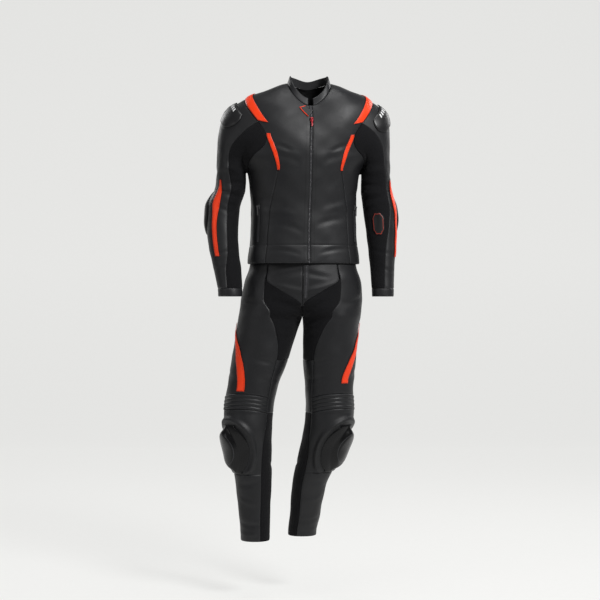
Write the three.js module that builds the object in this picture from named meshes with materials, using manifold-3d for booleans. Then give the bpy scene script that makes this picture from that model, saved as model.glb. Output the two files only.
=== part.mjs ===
// A two-piece leather race suit for motorcycling, in the hollow form of a suit that is worn.
// The jacket and the trousers are cut from panels. Each panel is a thin wall between two seams, and each
// wall follows one of three forms: the jacket body, a sleeve, or a half of the trousers.
// Millimetres, +Z up, the suit faces -Y. Heights are above the ground, and the whole suit is lowered at
// the end so that the origin is the point between the shoulders where a wearer carries it.
// "right" is the wearer's right side, which is -X, and "left" is +X.
import * as THREE from "three";
import Module from "manifold-3d";

const wasm = await Module();
wasm.setup();

const CARRY_HEIGHT = 1560; // the point between the shoulders that carries the suit
const LEATHER = 3; // leather with its lining
const STRETCH = 2.4; // woven stretch panels
const SEAM_HALF_GAP = 0.18; // each panel stops this far from its seam
const TRIM_LIFT = 0.85; // air under trim that lies on a panel
const TRIM = 1.6; // thickness of coloured trim
const STRIPE_LIFT = 1.4; // air under the wider trim, which spans the panels' flat facets
const TROUSER_MIDDLE = -12; // the plane between the legs

const SIDES = { right: -1, left: 1 };

// Colours and finishes.
const finish = (color, roughness, metalness = 0) => ({ color, roughness, metalness });
const FINISH = {
  leather: finish(0x1b1b1d, 0.5),
  stretch: finish(0x0b0b0e, 0.85),
  orange: finish(0xf0431c, 0.5),
  armour: finish(0x151517, 0.32),
  slider: finish(0x2a2a2c, 0.4),
  zip: finish(0x141416, 0.6),
  metal: finish(0x8c2a30, 0.35, 0.8),
  patch: finish(0x1a0f12, 0.7),
};

const radians = THREE.MathUtils.degToRad;
const mix = THREE.MathUtils.lerp;
const ease = (t) => t * t * (3 - 2 * t);

// A smooth function of height from one column of a table whose rows go up in z, flat past its ends and
// with no overshoot between its rows.
function column(table, name) {
  const z = table.map((row) => row.z);
  const v = table.map((row) => row[name]);
  const slope = z.slice(1).map((next, i) => (v[i + 1] - v[i]) / (next - z[i]));
  const tangent = v.map((_, i) => {
    if (i === 0 || i === v.length - 1) return 0;
    const [a, b] = [slope[i - 1], slope[i]];
    return a * b <= 0 ? 0 : (2 * a * b) / (a + b);
  });
  return (height) => {
    if (height <= z[0]) return v[0];
    if (height >= z[z.length - 1]) return v[v.length - 1];
    const i = z.findIndex((next, k) => k > 0 && height <= next) - 1;
    const span = z[i + 1] - z[i];
    const t = (height - z[i]) / span;
    const [t2, t3] = [t * t, t * t * t];
    return (
      (2 * t3 - 3 * t2 + 1) * v[i] +
      (t3 - 2 * t2 + t) * span * tangent[i] +
      (3 * t2 - 2 * t3) * v[i + 1] +
      (t3 - t2) * span * tangent[i + 1]
    );
  };
}

function columns(table) {
  const names = Object.keys(table[0]).filter((name) => name !== "z");
  return Object.fromEntries(names.map((name) => [name, column(table, name)]));
}

const signedPower = (value, power) => Math.sign(value) * Math.abs(value) ** power;

// The jacket body. Below the chest line its sections are level, and above it they fan up over a crown.
// A place on it is an angle from the centre front, in degrees towards +X, and a level.
const CHEST = 1400;
const CROWN_STEP = 220; // levels per radian above the chest line
const BODY_ROUNDNESS = 2.4;
const SHOULDER_SLOPE = 0.18;
const SLOPE_EASE = 40;
const SHOULDER_HOLLOW = { across: 140, width: 36, depth: 12 }; // between the neck and the shoulder's point
const JACKET_HEM = 1056;
const ARMHOLE_MIDDLE = 1465;
const ARMHOLE_HALF = 120;
// wide stretches the body across, and shift is its centre.
const body = columns([
  { z: JACKET_HEM, half: 179, front: 114, back: 122, turn: 9, wide: 1, shift: -8 },
  { z: 1130, half: 171, front: 110, back: 112, turn: 9, wide: 1, shift: -8 },
  { z: 1216, half: 168, front: 109, back: 103, turn: 10, wide: 1, shift: -8 },
  { z: 1290, half: 172, front: 114, back: 108, turn: 11, wide: 1, shift: -8 },
  { z: 1345, half: 179, front: 121, back: 115, turn: 11, wide: 1, shift: -8 },
  { z: CHEST, half: 214, front: 125, back: 122, turn: 11, wide: 1, shift: -8 },
  { z: 1500, half: 214, front: 125, back: 122, turn: 9, wide: 1.04, shift: -2 },
  { z: ARMHOLE_MIDDLE + ARMHOLE_HALF, half: 214, front: 125, back: 122, turn: 6, wide: 1.09, shift: 6 },
  { z: 1690, half: 214, front: 125, back: 122, turn: 4, wide: 0.94, shift: 8 },
]);
const CROWN = {
  side: { height: 241, power: 4 },
  front: { height: 197, power: 2.2 },
  back: { height: 237, power: 2.6 },
};

function bodyPoint(angle, level) {
  const [sin, cos] = [Math.sin(radians(angle)), Math.cos(radians(angle))];
  const rise = Math.max(0, level - CHEST) / CROWN_STEP;
  const deep = cos > 0 ? body.front(level) : body.back(level);
  const end = cos > 0 ? CROWN.front : CROWN.back;
  const power = mix(end.power, CROWN.side.power, sin * sin);
  const height = mix(end.height, CROWN.side.height, sin * sin);
  const flat = (Math.abs(sin / body.half(level)) ** BODY_ROUNDNESS + Math.abs(cos / deep) ** BODY_ROUNDNESS)
    ** (1 / BODY_ROUNDNESS);
  const reach = ((flat * Math.cos(rise)) ** power + (Math.sin(rise) / height) ** power) ** (-1 / power);
  const across = reach * Math.cos(rise) * sin;
  const slope = SHOULDER_SLOPE * (Math.hypot(across, SLOPE_EASE) - SLOPE_EASE) * Math.sin(rise);
  const hollow = SHOULDER_HOLLOW.depth * Math.sin(rise) ** 2
    * Math.exp(-(((Math.abs(across) - SHOULDER_HOLLOW.across) / SHOULDER_HOLLOW.width) ** 2));
  const up = rise > 0 ? CHEST + reach * Math.sin(rise) - slope - hollow : level;
  return new THREE.Vector3(across * body.wide(level), -reach * Math.cos(rise) * cos, up)
    .applyAxisAngle(new THREE.Vector3(0, 0, 1), radians(body.turn(level)))
    .add(new THREE.Vector3(body.shift(level), 0, 0));
}

// The armhole is an oval in angle and level, a little pointed at its top and bottom. Its turn goes from
// the front over the top to the back.
const ARMHOLE = { level: ARMHOLE_MIDDLE, half: ARMHOLE_HALF, front: 37.5, back: 37, point: 0.65 };
const ARMHOLE_TOP = ARMHOLE.level + ARMHOLE.half;
const ARMHOLE_BOTTOM = ARMHOLE.level - ARMHOLE.half;
const ARMHOLE_STEP = 18; // degrees of turn between the points of an armhole
const climb = (turn) => mix(Math.sin(radians(turn)), turn / 90, ARMHOLE.point);
function armholeLevel(turn) {
  const round = THREE.MathUtils.euclideanModulo(turn + 90, 360) - 90;
  return ARMHOLE.level + ARMHOLE.half * climb(round > 90 ? 180 - round : round);
}
function armholeAngle(turn) {
  const cos = Math.cos(radians(turn));
  return 90 - cos * (cos > 0 ? ARMHOLE.front : ARMHOLE.back);
}
// The angle of the armhole's front or back edge at a level between its bottom and its top.
function armholeEdge(level, reach) {
  let [low, high] = [-90, 90];
  for (let i = 0; i < 40; i++) {
    const turn = (low + high) / 2;
    if (armholeLevel(turn) < level) low = turn;
    else high = turn;
  }
  return 90 - reach * Math.cos(radians((low + high) / 2));
}

// The neckline's level round the body, and the rows of all body panels. A row is a level, or above the
// armhole a share of the way from there to the neckline.
const NECKLINE = { front: 1632, side: 1682, back: 1688 };
function necklineLevel(angle) {
  const [sin, cos] = [Math.sin(radians(angle)), Math.cos(radians(angle))];
  return mix(cos > 0 ? NECKLINE.front : NECKLINE.back, NECKLINE.side, sin * sin);
}
const LOWER_ROWS = [JACKET_HEM, 1136, 1216, 1290];
const ARMHOLE_ROWS = Array.from({ length: 11 }, (_, i) => armholeLevel(-90 + i * ARMHOLE_STEP));
const YOKE_ROWS = [0.33, 0.67, 1];
const BODY_ROWS = [
  ...[...LOWER_ROWS, ...ARMHOLE_ROWS].map((level) => ({ level, at: () => level })),
  ...YOKE_ROWS.map((share) => ({
    level: ARMHOLE_TOP + share,
    at: (angle) => mix(ARMHOLE_TOP, necklineLevel(angle), share),
  })),
];
const bodyRows = (from, to) => BODY_ROWS.filter((row) => row.level > from - 0.01 && row.level < to + 0.01);

// A sleeve. Past its cap its sections are almost level, by the height of their middle. A place on it is a
// turn, 0 at the front, 90 outside, 180 at the back and -90 inside, and a reach along it: 0 at the armhole,
// 1 at the end of the cap, and then 1 more for each 100 mm down.
const CAP_END = 1368;
const REACH_STEP = 100;
const CAP_FULLNESS = 1.35;
const CAP_BLEND = { side: 0.45, top: 0.62 }; // how far the cap leaves the armhole sideways
const ARM_ROUNDNESS = 0.94;
const WRIST = 952;
const arms = {
  right: columns([
    { z: WRIST, x: 238, y: -78, half: 38, deep: 41, tilt: 0, seam: 10, stripe: 28 },
    { z: 1030, x: 247, y: -62, half: 43, deep: 46, tilt: 0, seam: 4, stripe: 28 },
    { z: 1105, x: 260, y: -45, half: 47, deep: 52, tilt: 0, seam: -18, stripe: 27 },
    { z: 1170, x: 265, y: -30, half: 50, deep: 56, tilt: 0, seam: -20, stripe: 26 },
    { z: 1235, x: 262, y: -18, half: 51, deep: 58, tilt: 3, seam: -17, stripe: 24 },
    { z: 1300, x: 240, y: -20, half: 48, deep: 57, tilt: 10, seam: -5, stripe: 36 },
    { z: CAP_END, x: 237, y: -27, half: 53, deep: 63, tilt: 30, seam: 8, stripe: 40 },
  ]),
  left: columns([
    { z: WRIST, x: 244, y: -18, half: 35, deep: 41, tilt: 0, seam: 3, stripe: 66 },
    { z: 1030, x: 244, y: -4, half: 38, deep: 46, tilt: 0, seam: 5, stripe: 66 },
    { z: 1105, x: 243, y: 10, half: 44, deep: 52, tilt: 0, seam: 11, stripe: 68 },
    { z: 1165, x: 241, y: 20, half: 49, deep: 56, tilt: 0, seam: 24, stripe: 68 },
    { z: 1225, x: 237, y: 28, half: 52, deep: 58, tilt: 3, seam: 34, stripe: 66 },
    { z: 1300, x: 225, y: 27, half: 49, deep: 57, tilt: 10, seam: 40, stripe: 62 },
    { z: CAP_END, x: 223, y: 22, half: 53, deep: 63, tilt: 30, seam: 32, stripe: 60 },
  ]),
};
const SLEEVE_END = 1 + (CAP_END - WRIST) / REACH_STEP;
const sleeveHeight = (reach) => CAP_END - (reach - 1) * REACH_STEP;

function sleeveRing(side, turn, height) {
  const arm = arms[side];
  const out = arm.half(height) * signedPower(Math.sin(radians(turn)), ARM_ROUNDNESS);
  const front = arm.deep(height) * signedPower(Math.cos(radians(turn)), ARM_ROUNDNESS);
  const tilt = radians(arm.tilt(height));
  return new THREE.Vector3(
    SIDES[side] * (arm.x(height) + out * Math.cos(tilt)),
    arm.y(height) - front,
    height + out * Math.sin(tilt),
  );
}

const armholePoint = (side, turn) => bodyPoint(SIDES[side] * armholeAngle(turn), armholeLevel(turn));

function sleevePoint(side, turn, reach) {
  if (reach >= 1) return sleeveRing(side, turn, sleeveHeight(reach));
  const start = armholePoint(side, turn);
  const end = sleeveRing(side, turn, CAP_END);
  const span = start.distanceTo(end) * CAP_FULLNESS;
  const along = armholePoint(side, turn + 1).sub(armholePoint(side, turn - 1));
  const into = along.cross(bodyNormal(SIDES[side] * armholeAngle(turn), armholeLevel(turn)));
  const outward = new THREE.Vector3(SIDES[side], 0, -0.2);
  if (into.dot(outward) < 0) into.negate();
  const blend = mix(CAP_BLEND.side, CAP_BLEND.top, Math.max(0, Math.sin(radians(turn))) ** 2);
  const leave = into.normalize().lerp(outward, blend).setLength(span);
  const arrive = sleeveRing(side, turn, CAP_END - 5).sub(end).setLength(span);
  const [t, t2, t3] = [reach, reach ** 2, reach ** 3];
  return start.multiplyScalar(2 * t3 - 3 * t2 + 1)
    .addScaledVector(leave, t3 - 2 * t2 + t)
    .addScaledVector(end, 3 * t2 - 2 * t3)
    .addScaledVector(arrive, t3 - t2);
}

// A half of the trousers. A place on it is a turn, 0 at the outside, 90 at the front, 180 inside and 270
// at the back, and a height. Above the crotch a half stops at the middle plane.
const CROTCH = 884;
const WAIST = 1128;
const ANKLE = 182;
const LEG_ROUNDNESS = 0.95;
const HIP_ROWS = [
  { z: CROTCH, ratio: 1.004, right: 204, left: 186, front: 99, back: 104 },
  { z: 888, ratio: 0.977, right: 203.5, left: 186.5, front: 100, back: 106 },
  { z: 900, ratio: 0.75, right: 201.5, left: 188, front: 102, back: 111 },
  { z: 920, ratio: 0.465, right: 199, left: 190, front: 105, back: 117 },
  { z: 950, ratio: 0.195, right: 195, left: 191, front: 107, back: 120 },
  { z: 1000, ratio: 0.045, right: 184, left: 188, front: 108, back: 119 },
  { z: 1050, ratio: 0, right: 168, left: 172, front: 103, back: 110 },
  { z: WAIST, ratio: 0, right: 154, left: 156, front: 96, back: 98 },
];
// Each hip row gives the reach from the middle plane to the outside, and the share of the half-width that
// lies between the middle plane and the centre of the section.
const hips = (side) => HIP_ROWS.map(({ z, ratio, front, back, [side]: reach }) => (
  { z, out: (reach * ratio) / (1 + ratio), half: reach / (1 + ratio), front, back, y: 0 }));
const legs = {
  right: columns([
    { z: ANKLE, out: 149, half: 46, front: 47, back: 48, y: -42 },
    { z: 250, out: 151, half: 49, front: 50, back: 54, y: -38 },
    { z: 345, out: 154, half: 56, front: 57, back: 66, y: -32 },
    { z: 400, out: 158, half: 61, front: 62, back: 70, y: -30 },
    { z: 450, out: 164, half: 67, front: 68, back: 70, y: -30 },
    { z: 528, out: 170, half: 74, front: 77, back: 70, y: -30 },
    { z: 592, out: 170, half: 78, front: 79, back: 74, y: -27 },
    { z: 656, out: 160, half: 80, front: 81, back: 81, y: -22 },
    { z: 752, out: 135, half: 90, front: 90, back: 91, y: -12 },
    { z: 848, out: 112, half: 98, front: 97, back: 101, y: -2 },
    ...hips("right"),
  ]),
  left: columns([
    { z: ANKLE, out: 0, half: 46, front: 47, back: 48, y: 62 },
    { z: 250, out: 9, half: 49, front: 50, back: 54, y: 52 },
    { z: 345, out: 22, half: 55, front: 57, back: 66, y: 36 },
    { z: 400, out: 39, half: 62, front: 62, back: 70, y: 25 },
    { z: 450, out: 57, half: 69, front: 68, back: 70, y: 14 },
    { z: 528, out: 77, half: 73, front: 77, back: 70, y: 0 },
    { z: 592, out: 88, half: 77, front: 79, back: 74, y: -5 },
    { z: 656, out: 86, half: 77, front: 81, back: 81, y: -5 },
    { z: 752, out: 87, half: 85, front: 90, back: 91, y: -2 },
    { z: 848, out: 91, half: 88, front: 97, back: 101, y: 0 },
    ...hips("left"),
  ]),
};

// The largest turn that a half of the trousers reaches at its front: 180 below the crotch.
function centreTurn(side, height) {
  const [out, half] = [legs[side].out(height), legs[side].half(height)];
  if (height <= CROTCH + 0.01 || out >= half) return 180;
  return THREE.MathUtils.radToDeg(Math.acos(-out / half));
}

function legPoint(side, turn, height) {
  const leg = legs[side];
  const [sin, cos] = [Math.sin(radians(turn)), Math.cos(radians(turn))];
  const limit = radians(centreTurn(side, height));
  const centre = height > CROTCH ? leg.half(height) * signedPower(Math.cos(limit), LEG_ROUNDNESS) : 0;
  const plain = height > CROTCH ? -leg.out(height) : 0;
  const out = leg.out(height) + leg.half(height) * signedPower(cos, LEG_ROUNDNESS)
    + (cos < 0 ? plain - centre : 0);
  const deep = sin > 0 ? leg.front(height) : leg.back(height);
  return new THREE.Vector3(
    TROUSER_MIDDLE + SIDES[side] * out,
    leg.y(height) - deep * signedPower(sin, LEG_ROUNDNESS),
    height,
  );
}

// The outward normal of a form at a place, from the points just round it.
function normalAt(point, centre, across, along, stepAcross, stepAlong) {
  const a = point(across + stepAcross, along).sub(point(across - stepAcross, along));
  const b = point(across, along + stepAlong).sub(point(across, along - stepAlong));
  const normal = a.cross(b).normalize();
  const outward = point(across, along).sub(centre);
  return normal.dot(outward) < 0 ? normal.negate() : normal;
}

function bodyNormal(angle, level) {
  const inside = new THREE.Vector3(body.shift(level), 0, Math.min(level, CHEST));
  return normalAt(bodyPoint, inside, angle, level, 0.5, 2);
}

function sleeveNormal(side, turn, reach) {
  if (reach < 0.001) return bodyNormal(SIDES[side] * armholeAngle(turn), armholeLevel(turn));
  const at = Math.max(reach, 0.02);
  const point = (a, b) => sleevePoint(side, a, b);
  const inside = point(turn, at).add(point(turn + 180, at)).multiplyScalar(0.5);
  return normalAt(point, inside, turn, at, 1, 0.015);
}

function legNormal(side, turn, height) {
  const point = (a, b) => legPoint(side, a, b);
  const inside = new THREE.Vector3(
    TROUSER_MIDDLE + SIDES[side] * legs[side].out(height), legs[side].y(height), height);
  const limit = centreTurn(side, height);
  const free = limit > 179.9 ? turn
    : turn < 180 ? Math.min(turn, limit - 1.5) : Math.max(turn, 361.5 - limit);
  const levelStep = height > CROTCH - 3 && height < CROTCH + 3 ? 0.2 : 1.5;
  const normal = normalAt(point, inside, free, height, 1, levelStep);
  // At the centre seam above the crotch the wall's edge lies in the middle plane.
  if (limit < 179.9 && Math.abs(free - turn) > 0.1 && legs[side].out(height) < 1) normal.setX(0).normalize();
  return normal;
}

// A form as a panel needs it: the point and the outward normal at a place.
const bodyForm = { point: bodyPoint, normal: bodyNormal };
const sleeveForm = (side) => ({
  point: (a, b) => sleevePoint(side, a, b),
  normal: (a, b) => sleeveNormal(side, a, b),
});
const legForm = (side) => ({
  point: (a, b) => legPoint(side, a, b),
  normal: (a, b) => legNormal(side, a, b),
});

// A closed wall from a grid of places. rows is a list of rows, each a list of [across, along] places.
// outer and inner raise the two faces. Each is a number, or a function of the shares u and v of the wall and
// of the place.
function wall(form, rows, { thick = LEATHER, outer = 0, inner, gap = SEAM_HALF_GAP } = {}) {
  const asFunction = (height) => (typeof height === "function" ? height : () => height);
  const top = asFunction(outer);
  const base = asFunction(inner === undefined ? outer - thick : inner);
  const [nv, nu] = [rows.length, rows[0].length];
  const points = rows.map((row) => row.map(([a, b]) => form.point(a, b)));
  const normals = rows.map((row) => row.map(([a, b]) => form.normal(a, b)));
  const moved = points.map((row) => row.map((p) => p.clone()));
  const pull = (v, u, dv, du) => {
    const step = points[v + dv][u + du].clone().sub(points[v][u]);
    if (step.lengthSq() > 1e-6) moved[v][u].addScaledVector(step.normalize(), gap);
  };
  for (let v = 0; v < nv; v++) {
    pull(v, 0, 0, 1);
    pull(v, nu - 1, 0, -1);
  }
  for (let u = 0; u < nu; u++) {
    pull(0, u, 1, 0);
    pull(nv - 1, u, -1, 0);
  }
  const positions = [];
  for (const face of ["outer", "inner"]) {
    for (let v = 0; v < nv; v++) {
      for (let u = 0; u < nu; u++) {
        const [across, along] = rows[v][u];
        const height = (face === "inner" ? base : top)(u / (nu - 1), v / (nv - 1), across, along);
        positions.push(...moved[v][u].clone().addScaledVector(normals[v][u], height).toArray());
      }
    }
  }
  const at = (v, u, face) => face * nv * nu + v * nu + u;
  const index = [];
  const quad = (a, b, c, d) => index.push(a, b, c, a, c, d);
  for (let v = 0; v < nv - 1; v++) {
    for (let u = 0; u < nu - 1; u++) {
      quad(at(v, u, 0), at(v, u + 1, 0), at(v + 1, u + 1, 0), at(v + 1, u, 0));
      quad(at(v, u, 1), at(v + 1, u, 1), at(v + 1, u + 1, 1), at(v, u + 1, 1));
    }
  }
  for (let u = 0; u < nu - 1; u++) {
    quad(at(0, u, 1), at(0, u + 1, 1), at(0, u + 1, 0), at(0, u, 0));
    quad(at(nv - 1, u, 0), at(nv - 1, u + 1, 0), at(nv - 1, u + 1, 1), at(nv - 1, u, 1));
  }
  for (let v = 0; v < nv - 1; v++) {
    quad(at(v, 0, 0), at(v + 1, 0, 0), at(v + 1, 0, 1), at(v, 0, 1));
    quad(at(v, nu - 1, 1), at(v + 1, nu - 1, 1), at(v + 1, nu - 1, 0), at(v, nu - 1, 0));
  }
  const geometry = new THREE.BufferGeometry();
  geometry.setAttribute("position", new THREE.Float32BufferAttribute(positions, 3));
  geometry.setIndex(index);
  return facingOut(geometry);
}

function signedVolume(geometry) {
  const p = geometry.attributes.position;
  const [a, b, c] = [new THREE.Vector3(), new THREE.Vector3(), new THREE.Vector3()];
  let sum = 0;
  for (let i = 0; i < geometry.index.count; i += 3) {
    a.fromBufferAttribute(p, geometry.index.getX(i));
    b.fromBufferAttribute(p, geometry.index.getX(i + 1));
    c.fromBufferAttribute(p, geometry.index.getX(i + 2));
    sum += a.dot(b.cross(c)) / 6;
  }
  return sum;
}

function facingOut(geometry) {
  if (signedVolume(geometry) < 0) {
    const turned = Array.from(geometry.index.array);
    for (let i = 0; i < turned.length; i += 3) {
      [turned[i + 1], turned[i + 2]] = [turned[i + 2], turned[i + 1]];
    }
    geometry.setIndex(turned);
  }
  return geometry;
}

// Rows of places between two seams. Each seam gives its place across from the row's level.
function between(rows, first, last, count) {
  return rows.map((row) => {
    const [from, to] = [first(row.level), last(row.level)];
    return Array.from({ length: count + 1 }, (_, i) => {
      const across = mix(from, to, i / count);
      return [across, row.at(across)];
    });
  });
}
const levelRow = (level) => ({ level, at: () => level });
// A row that rises to its middle between two places across.
const archedRow = (level, rise, first, last) => ({
  level, at: (across) => level + rise * (1 - (2 * (across - first) / (last - first) - 1) ** 2),
});

// Rows of places for a piece of trim with a rounded or straight outline, centred on a path. width(v) and
// middle(v) are across, and v goes from 0 to 1 along it. at lists the rows where they aren't evenly spaced.
function patchRows({ from, to, steps, count, middle, width, at }) {
  const rows = at ?? Array.from({ length: steps + 1 }, (_, i) => mix(from, to, i / steps));
  return rows.map((along) => {
    const v = (along - rows[0]) / (rows[rows.length - 1] - rows[0]);
    return Array.from({ length: count + 1 }, (_, k) => [
      middle(v) + width(v) * (k / count - 0.5), along]);
  });
}
const oval = (v, least = 0.25) => Math.max(least, Math.sqrt(Math.max(0, 1 - (2 * v - 1) ** 2)));
const dome = (u, v) => Math.sin(Math.PI * u) ** 0.6 * Math.sin(Math.PI * v) ** 0.6;

const group = new THREE.Group();
group.position.z = -CARRY_HEIGHT;
function add(name, kind, geometry) {
  const mesh = new THREE.Mesh(geometry, new THREE.MeshStandardMaterial(FINISH[kind]));
  mesh.name = name;
  group.add(mesh);
  return mesh;
}

// Jacket fronts, sides and back.
const ZIP_HALF = 3.2; // half the width of the zip between the fronts, across
const PRINCESS = column([
  { z: JACKET_HEM, across: 58 },
  { z: 1216, across: 56 },
  { z: 1300, across: 48.5 },
  { z: 1357, across: 43.5 },
  { z: 1420, across: 47.8 },
  { z: ARMHOLE.level, across: 51 },
], "across");
const BACK_SEAM = column([
  { z: JACKET_HEM, across: 126 },
  { z: 1216, across: 129 },
  { z: 1345, across: 132 },
  { z: ARMHOLE.level, across: 129 },
], "across");
const zipAngle = (level) => THREE.MathUtils.radToDeg(ZIP_HALF / Math.max(40, -bodyPoint(0, level).y));
const sideEdge = (level, reach) => (level <= ARMHOLE_BOTTOM || level >= ARMHOLE_TOP
  ? 90 : armholeEdge(level, reach));
const NECK_ROW = ARMHOLE_TOP + 1;

for (const [side, sign] of Object.entries(SIDES)) {
  const frontSeam = (level) => sign * (level <= ARMHOLE.level + 0.01 ? PRINCESS(level)
    : sideEdge(level, ARMHOLE.front));
  add(`chest_front_${side}`, "leather", wall(bodyForm,
    between(bodyRows(JACKET_HEM, NECK_ROW), (level) => sign * zipAngle(level), frontSeam, 7)));
  add(`side_front_${side}`, "leather", wall(bodyForm,
    between(bodyRows(JACKET_HEM, ARMHOLE.level), (level) => sign * PRINCESS(level),
      (level) => sign * sideEdge(level, ARMHOLE.front), 4)));
  add(`back_side_${side}`, "leather", wall(bodyForm,
    between(bodyRows(JACKET_HEM, ARMHOLE.level), (level) => sign * BACK_SEAM(level),
      (level) => sign * (180 - sideEdge(level, ARMHOLE.back)), 4)));
}
const backEdge = (level) => (level <= ARMHOLE.level + 0.01 ? BACK_SEAM(level)
  : 180 - sideEdge(level, ARMHOLE.back));
add("back_centre", "leather", wall(bodyForm,
  between(bodyRows(JACKET_HEM, NECK_ROW), backEdge, (level) => 360 - backEdge(level), 12)));

// Collar: a band that stands on the neckline and leans in, open at the centre front.
const COLLAR = { height: 23, lean: 0.1, gapAngle: 5, lift: 0.9, steps: 2, count: 24 };
function collarPoint(angle, share) {
  const foot = bodyPoint(angle, necklineLevel(angle));
  const middle = bodyPoint(90, NECKLINE.side).add(bodyPoint(-90, NECKLINE.side)).multiplyScalar(0.5);
  const out = foot.clone().sub(middle).setZ(0);
  return foot.addScaledVector(out, -COLLAR.lean * share)
    .add(new THREE.Vector3(0, 0, COLLAR.lift + COLLAR.height * share));
}
const collarForm = {
  point: collarPoint,
  normal: (angle, share) => {
    const middle = collarPoint(angle, share).add(collarPoint(angle + 180, share)).multiplyScalar(0.5);
    return normalAt(collarPoint, middle, angle, Math.min(0.9, Math.max(0.1, share)), 1, 0.1);
  },
};
add("collar", "leather", wall(collarForm, Array.from({ length: COLLAR.steps + 1 }, (_, i) =>
  Array.from({ length: COLLAR.count + 1 }, (_, k) =>
    [mix(COLLAR.gapAngle, 360 - COLLAR.gapAngle, k / COLLAR.count), i / COLLAR.steps]))));

// The front zip lies between the fronts, a little below their face.
add("front_zip", "zip", wall(bodyForm,
  between(bodyRows(JACKET_HEM, NECK_ROW), (level) => -zipAngle(level), zipAngle, 2),
  { thick: 1.8, outer: -0.8 }));

// Trim on the jacket body: the shoulder bands and the slanted chest strips.
// A band runs over the shoulder beside the armhole. Its turns are the armhole's, and its width leads towards
// the centre at its ends and up to the neck at its top.
const BAND = { from: 39, to: 141, steps: 14, width: 28, gap: 3 };
const MM_PER_DEGREE = 3; // along the shoulder, across
const MM_PER_LEVEL = 1.24;
function bandPlace(sign, turn, away) {
  const lean = radians(90 * ease(1 - Math.abs(turn - 90) / (BAND.to - 90)));
  const side = turn > 90 ? 1 : -1;
  return [sign * (armholeAngle(turn) + (side * away * Math.cos(lean)) / MM_PER_DEGREE),
    armholeLevel(turn) + (away * Math.sin(lean)) / MM_PER_LEVEL];
}
const STRIP = { from: 1346, to: 1484, inset: 0.8, end: 1.4, full: 4.4 }; // inset and widths in degrees
for (const [side, sign] of Object.entries(SIDES)) {
  const bandRows = Array.from({ length: BAND.steps + 1 }, (_, i) => {
    const turn = mix(BAND.from, BAND.to, i / BAND.steps);
    return [0, 0.5, 1].map((share) => bandPlace(sign, turn, BAND.gap + BAND.width * share));
  });
  add(`shoulder_band_${side}`, "orange",
    wall(bodyForm, bandRows, { thick: TRIM, outer: STRIPE_LIFT + TRIM }));
  const stripRows = patchRows({
    from: STRIP.from, to: STRIP.to, steps: 9, count: 2,
    middle: (v) => sign * (PRINCESS(mix(STRIP.from, ARMHOLE.level, v)) - STRIP.inset),
    width: (v) => sign * mix(STRIP.end, STRIP.full, Math.sin(Math.PI * Math.min(1, 0.15 + 0.6 * v))),
  });
  add(`chest_strip_${side}`, "orange", wall(bodyForm, stripRows, { thick: TRIM, outer: TRIM_LIFT + TRIM }));
}

// Sleeves.
const CAP_ROWS = [0, 0.1, 0.22, 0.38, 0.56, 0.78, 1];
const ARM_ROWS = [1.35, 1.6, 1.85, 2.15, 2.5, 2.9, 3.4, 4.1, 4.9];
const ELBOW = 1.85; // where the outer sleeve ends and the forearm begins, along the sleeve
const SLEEVE_ROWS = [...CAP_ROWS, ...ARM_ROWS].map(levelRow);
const FRONT_SEAM_TURN = 36; // the stretch panel's seams at the armhole
const UNDER_SEAM_TURN = -90;
const STRETCH_STEPS = (FRONT_SEAM_TURN - UNDER_SEAM_TURN) / ARMHOLE_STEP;
const OUTER_STEPS = 360 / ARMHOLE_STEP - STRETCH_STEPS;
const CUFF_START = 4.9;
const sleeveRows = (from, to) => SLEEVE_ROWS.filter((r) => r.level > from - 0.01 && r.level < to + 0.01);
function frontSeamTurn(side, reach) {
  const far = arms[side].seam(sleeveHeight(Math.max(1, reach)));
  return reach < 1 ? mix(FRONT_SEAM_TURN, far, ease(reach)) : far;
}
function underSeamTurn(reach) {
  return reach < 1 ? UNDER_SEAM_TURN : mix(UNDER_SEAM_TURN, -95, Math.min(1, (reach - 1) / 2));
}
for (const side of Object.keys(SIDES)) {
  const form = sleeveForm(side);
  add(`sleeve_stretch_${side}`, "stretch", wall(form,
    between(sleeveRows(0, CUFF_START), underSeamTurn, (r) => frontSeamTurn(side, r), STRETCH_STEPS),
    { thick: STRETCH, gap: 0.55 }));
  add(`sleeve_outer_${side}`, "leather", wall(form,
    between(sleeveRows(0, ELBOW), (r) => frontSeamTurn(side, r), (r) => 360 + underSeamTurn(r), OUTER_STEPS),
    { gap: 0.4 }));
  add(`forearm_outer_${side}`, "leather", wall(form,
    between(sleeveRows(ELBOW, CUFF_START), (r) => frontSeamTurn(side, r),
      (r) => 360 + underSeamTurn(r), 11)));
  add(`cuff_${side}`, "leather", wall(form,
    between([CUFF_START, SLEEVE_END].map(levelRow), () => -94, () => 264, 18)));
}

// Armour and trim on the sleeves.
const ELBOW_STRIPE = { from: 1.55, to: 3.9, end: 4, tail: 18, swell: 12, swellAt: 0.24, swellLong: 0.16 };
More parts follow.
